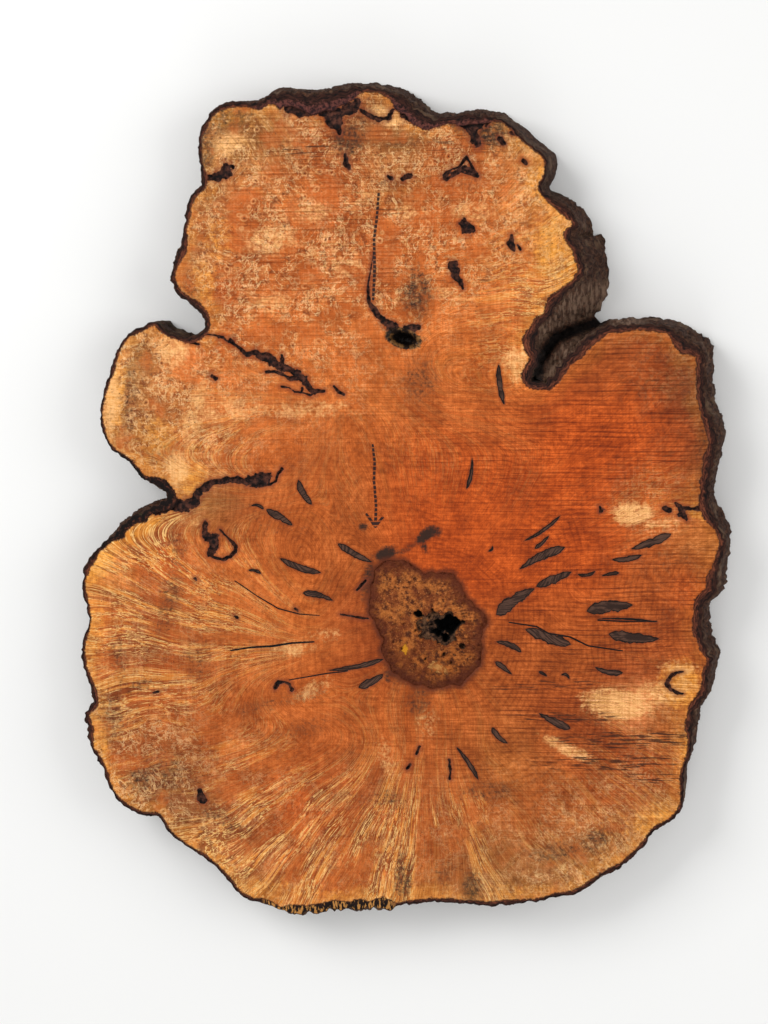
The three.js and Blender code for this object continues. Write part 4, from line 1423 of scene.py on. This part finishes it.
# %% Shade the heart
def heart_layers(shape):
    """How deep each vertex lies below the saw's plane, how far inside the rot, and a yellow spot."""
    metres = np.array([vert.co[:] for vert in shape.verts])
    places = on_slab(metres[:, :2])
    gold = np.minimum(oval_distance(places, -32, -43, 4, 7, 10),
                      oval_distance(places, 15, -68, 13, 5, -15))
    rows = np.column_stack([(high.z - metres[:, 2]) / mm, -heart_distance(places), gold])
    carry(shape, "rot", rows)


DAMP = (1.08, 0.76, 0.56)              # the red tint of damp rot, red to blue
ROT_PITCH = 5.2                        # the saw's ripple as it shows on rot, in millimetres


def heart_material():
    """Brown rot: spongy, mottled and dull, with painted shade black low in its hollows."""
    s = Shader("brown_rot")
    places = s.places()
    x, y, _ = s.split(places)
    drop, inward, gold = s.split(s.layer("rot"))
    sponge = s.noise(places, 8, detail=5, rough=0.72)
    patch = s.noise(places, 30, detail=3)
    ruddy = s.noise(places + (300, 0, 0), 24, detail=3)
    grit = s.noise(places, 2.2, detail=3, rough=0.7)
    saw = s.sine(y * (TURN / ROT_PITCH))
    colour = s.blend(s.rise(sponge, 0.38, 0.62), shade_of(70, 36, 18), shade_of(172, 114, 58))
    golden = s.rise(patch, 0.46, 0.62) * s.rise(sponge, 0.4, 0.6, 0.1, 0.7)
    colour = colour.coat(golden, 168, 114, 56)
    colour = colour.coat(s.rise(ruddy, 0.46, 0.6, 0, 0.7), 104, 54, 26)
    colour = colour.darken(1 - 0.3 * s.rise(saw, 0.2, 1) * s.rise(x, 10, 50))
    colour = colour.coat(s.rise(grit, 0.44, 0.3, 0, 0.75), 50, 30, 18)
    colour = colour.coat(s.rise(grit, 0.58, 0.7, 0, 0.6), 214, 168, 106)
    rag = (sponge - 0.5) * 14
    colour = colour.coat(s.rise(inward + rag * 1.2, 24, 5, 0, 0.88), 80, 38, 20)
    colour = colour.darken(s.rise(y, -90, 30, 0.84, 1.1)) * DAMP
    bright = s.blend(s.rise(x, -20, 0), shade_of(214, 146, 26), shade_of(196, 138, 74))
    colour = s.blend(s.rise(gold + rag * 1.8, 1.5, -2, 0, 0.85), colour, bright)
    crumbs = s.blend(s.rise(sponge, 0.42, 0.62), shade_of(22, 15, 12), shade_of(104, 76, 54))
    depth_here = drop + rag * 0.4
    colour = s.blend(s.rise(depth_here, 9, 12, 0, 0.9), colour, crumbs)
    # Painted shade: black deep in the hollows
    colour = colour.coat(s.rise(depth_here, 13, 24), 8, 6, 5)
    height = sponge * 0.6 + grit * 0.4
    return s.finish(colour, s.rise(grit, 0.3, 0.7, 0.9, 0.68), height, 2.6, specular=0.2)


heart_layers(heart_mesh)
make_piece("burl_wood", wood_mesh, [wood_material()])
make_piece("burl_bark", bark_mesh, [bark_material()])
make_piece("rotten_heart", heart_mesh, [heart_material()])

# %% [markdown]
# ## Floor, light and camera
# The slab lies on a pale floor under large soft lights, and is seen from just off straight above, from
# the side on which its bark shows.

# %% Stage the slab
def pale_floor():
    """A wide pale floor, just under the slab."""
    shape = bmesh.new()
    bmesh.ops.create_grid(shape, x_segments=1, y_segments=1, size=6)
    bmesh.ops.translate(shape, verts=shape.verts, vec=(0, 0, low.z - 0.001))
    mesh = bpy.data.meshes.new("floor")
    shape.to_mesh(mesh)
    shape.free()
    floor = bpy.data.objects.new("floor", mesh)
    bpy.context.scene.collection.objects.link(floor)
    s = Shader("pale_floor")
    s.wire(s.surface.inputs["Base Color"], (0.86, 0.86, 0.85))
    s.wire(s.surface.inputs["Roughness"], 0.9)
    s.surface.inputs["Specular IOR Level"].default_value = 0.1
    mesh.materials.append(s.material)


def soft_light(name, place, width, power):
    """A large square light that faces the slab."""
    lamp = bpy.data.lights.new(name, "AREA")
    lamp.size = width
    lamp.energy = power
    holder = bpy.data.objects.new(name, lamp)
    holder.location = place
    holder.rotation_euler = (-Vector(place)).to_track_quat("-Z", "Y").to_euler()
    bpy.context.scene.collection.objects.link(holder)


def place_camera(target, tilt_right, tilt_up, distance):
    """A long-lens camera that looks down at the target, leaning a few degrees right and up."""
    lean = Vector((np.tan(np.radians(tilt_right)), np.tan(np.radians(tilt_up)), 1))
    camera = bpy.data.cameras.new("camera")
    camera.sensor_width = 36
    camera.lens = 36 * distance / (1500 * mm)
    camera.dof.use_dof = False
    holder = bpy.data.objects.new("camera", camera)
    holder.location = target + lean * distance
    back = lean.normalized()
    right = Vector((0, 1, 0)).cross(back).normalized()
    up = back.cross(right)
    holder.rotation_euler = Matrix((right, up, back)).transposed().to_euler()
    bpy.context.scene.collection.objects.link(holder)
    bpy.context.scene.camera = holder


pale_floor()
soft_light("window_light", (-2.6, 1.8, 2.6), 2.2, 95)
soft_light("fill_light", (2.8, 0.4, 2.2), 2.4, 38)
soft_light("low_light", (0.2, -3.0, 1.8), 2.0, 22)
world = bpy.data.worlds.new("soft_room")
world.use_nodes = True
world.node_tree.nodes["Background"].inputs[0].default_value = (1.0, 1.0, 1.0, 1.0)
world.node_tree.nodes["Background"].inputs[1].default_value = 0.55
bpy.context.scene.world = world
bpy.context.scene.view_settings.view_transform = "Standard"
place_camera(Vector((-0.030, -0.018, high.z)), 4.0, 3.0, 3.5)
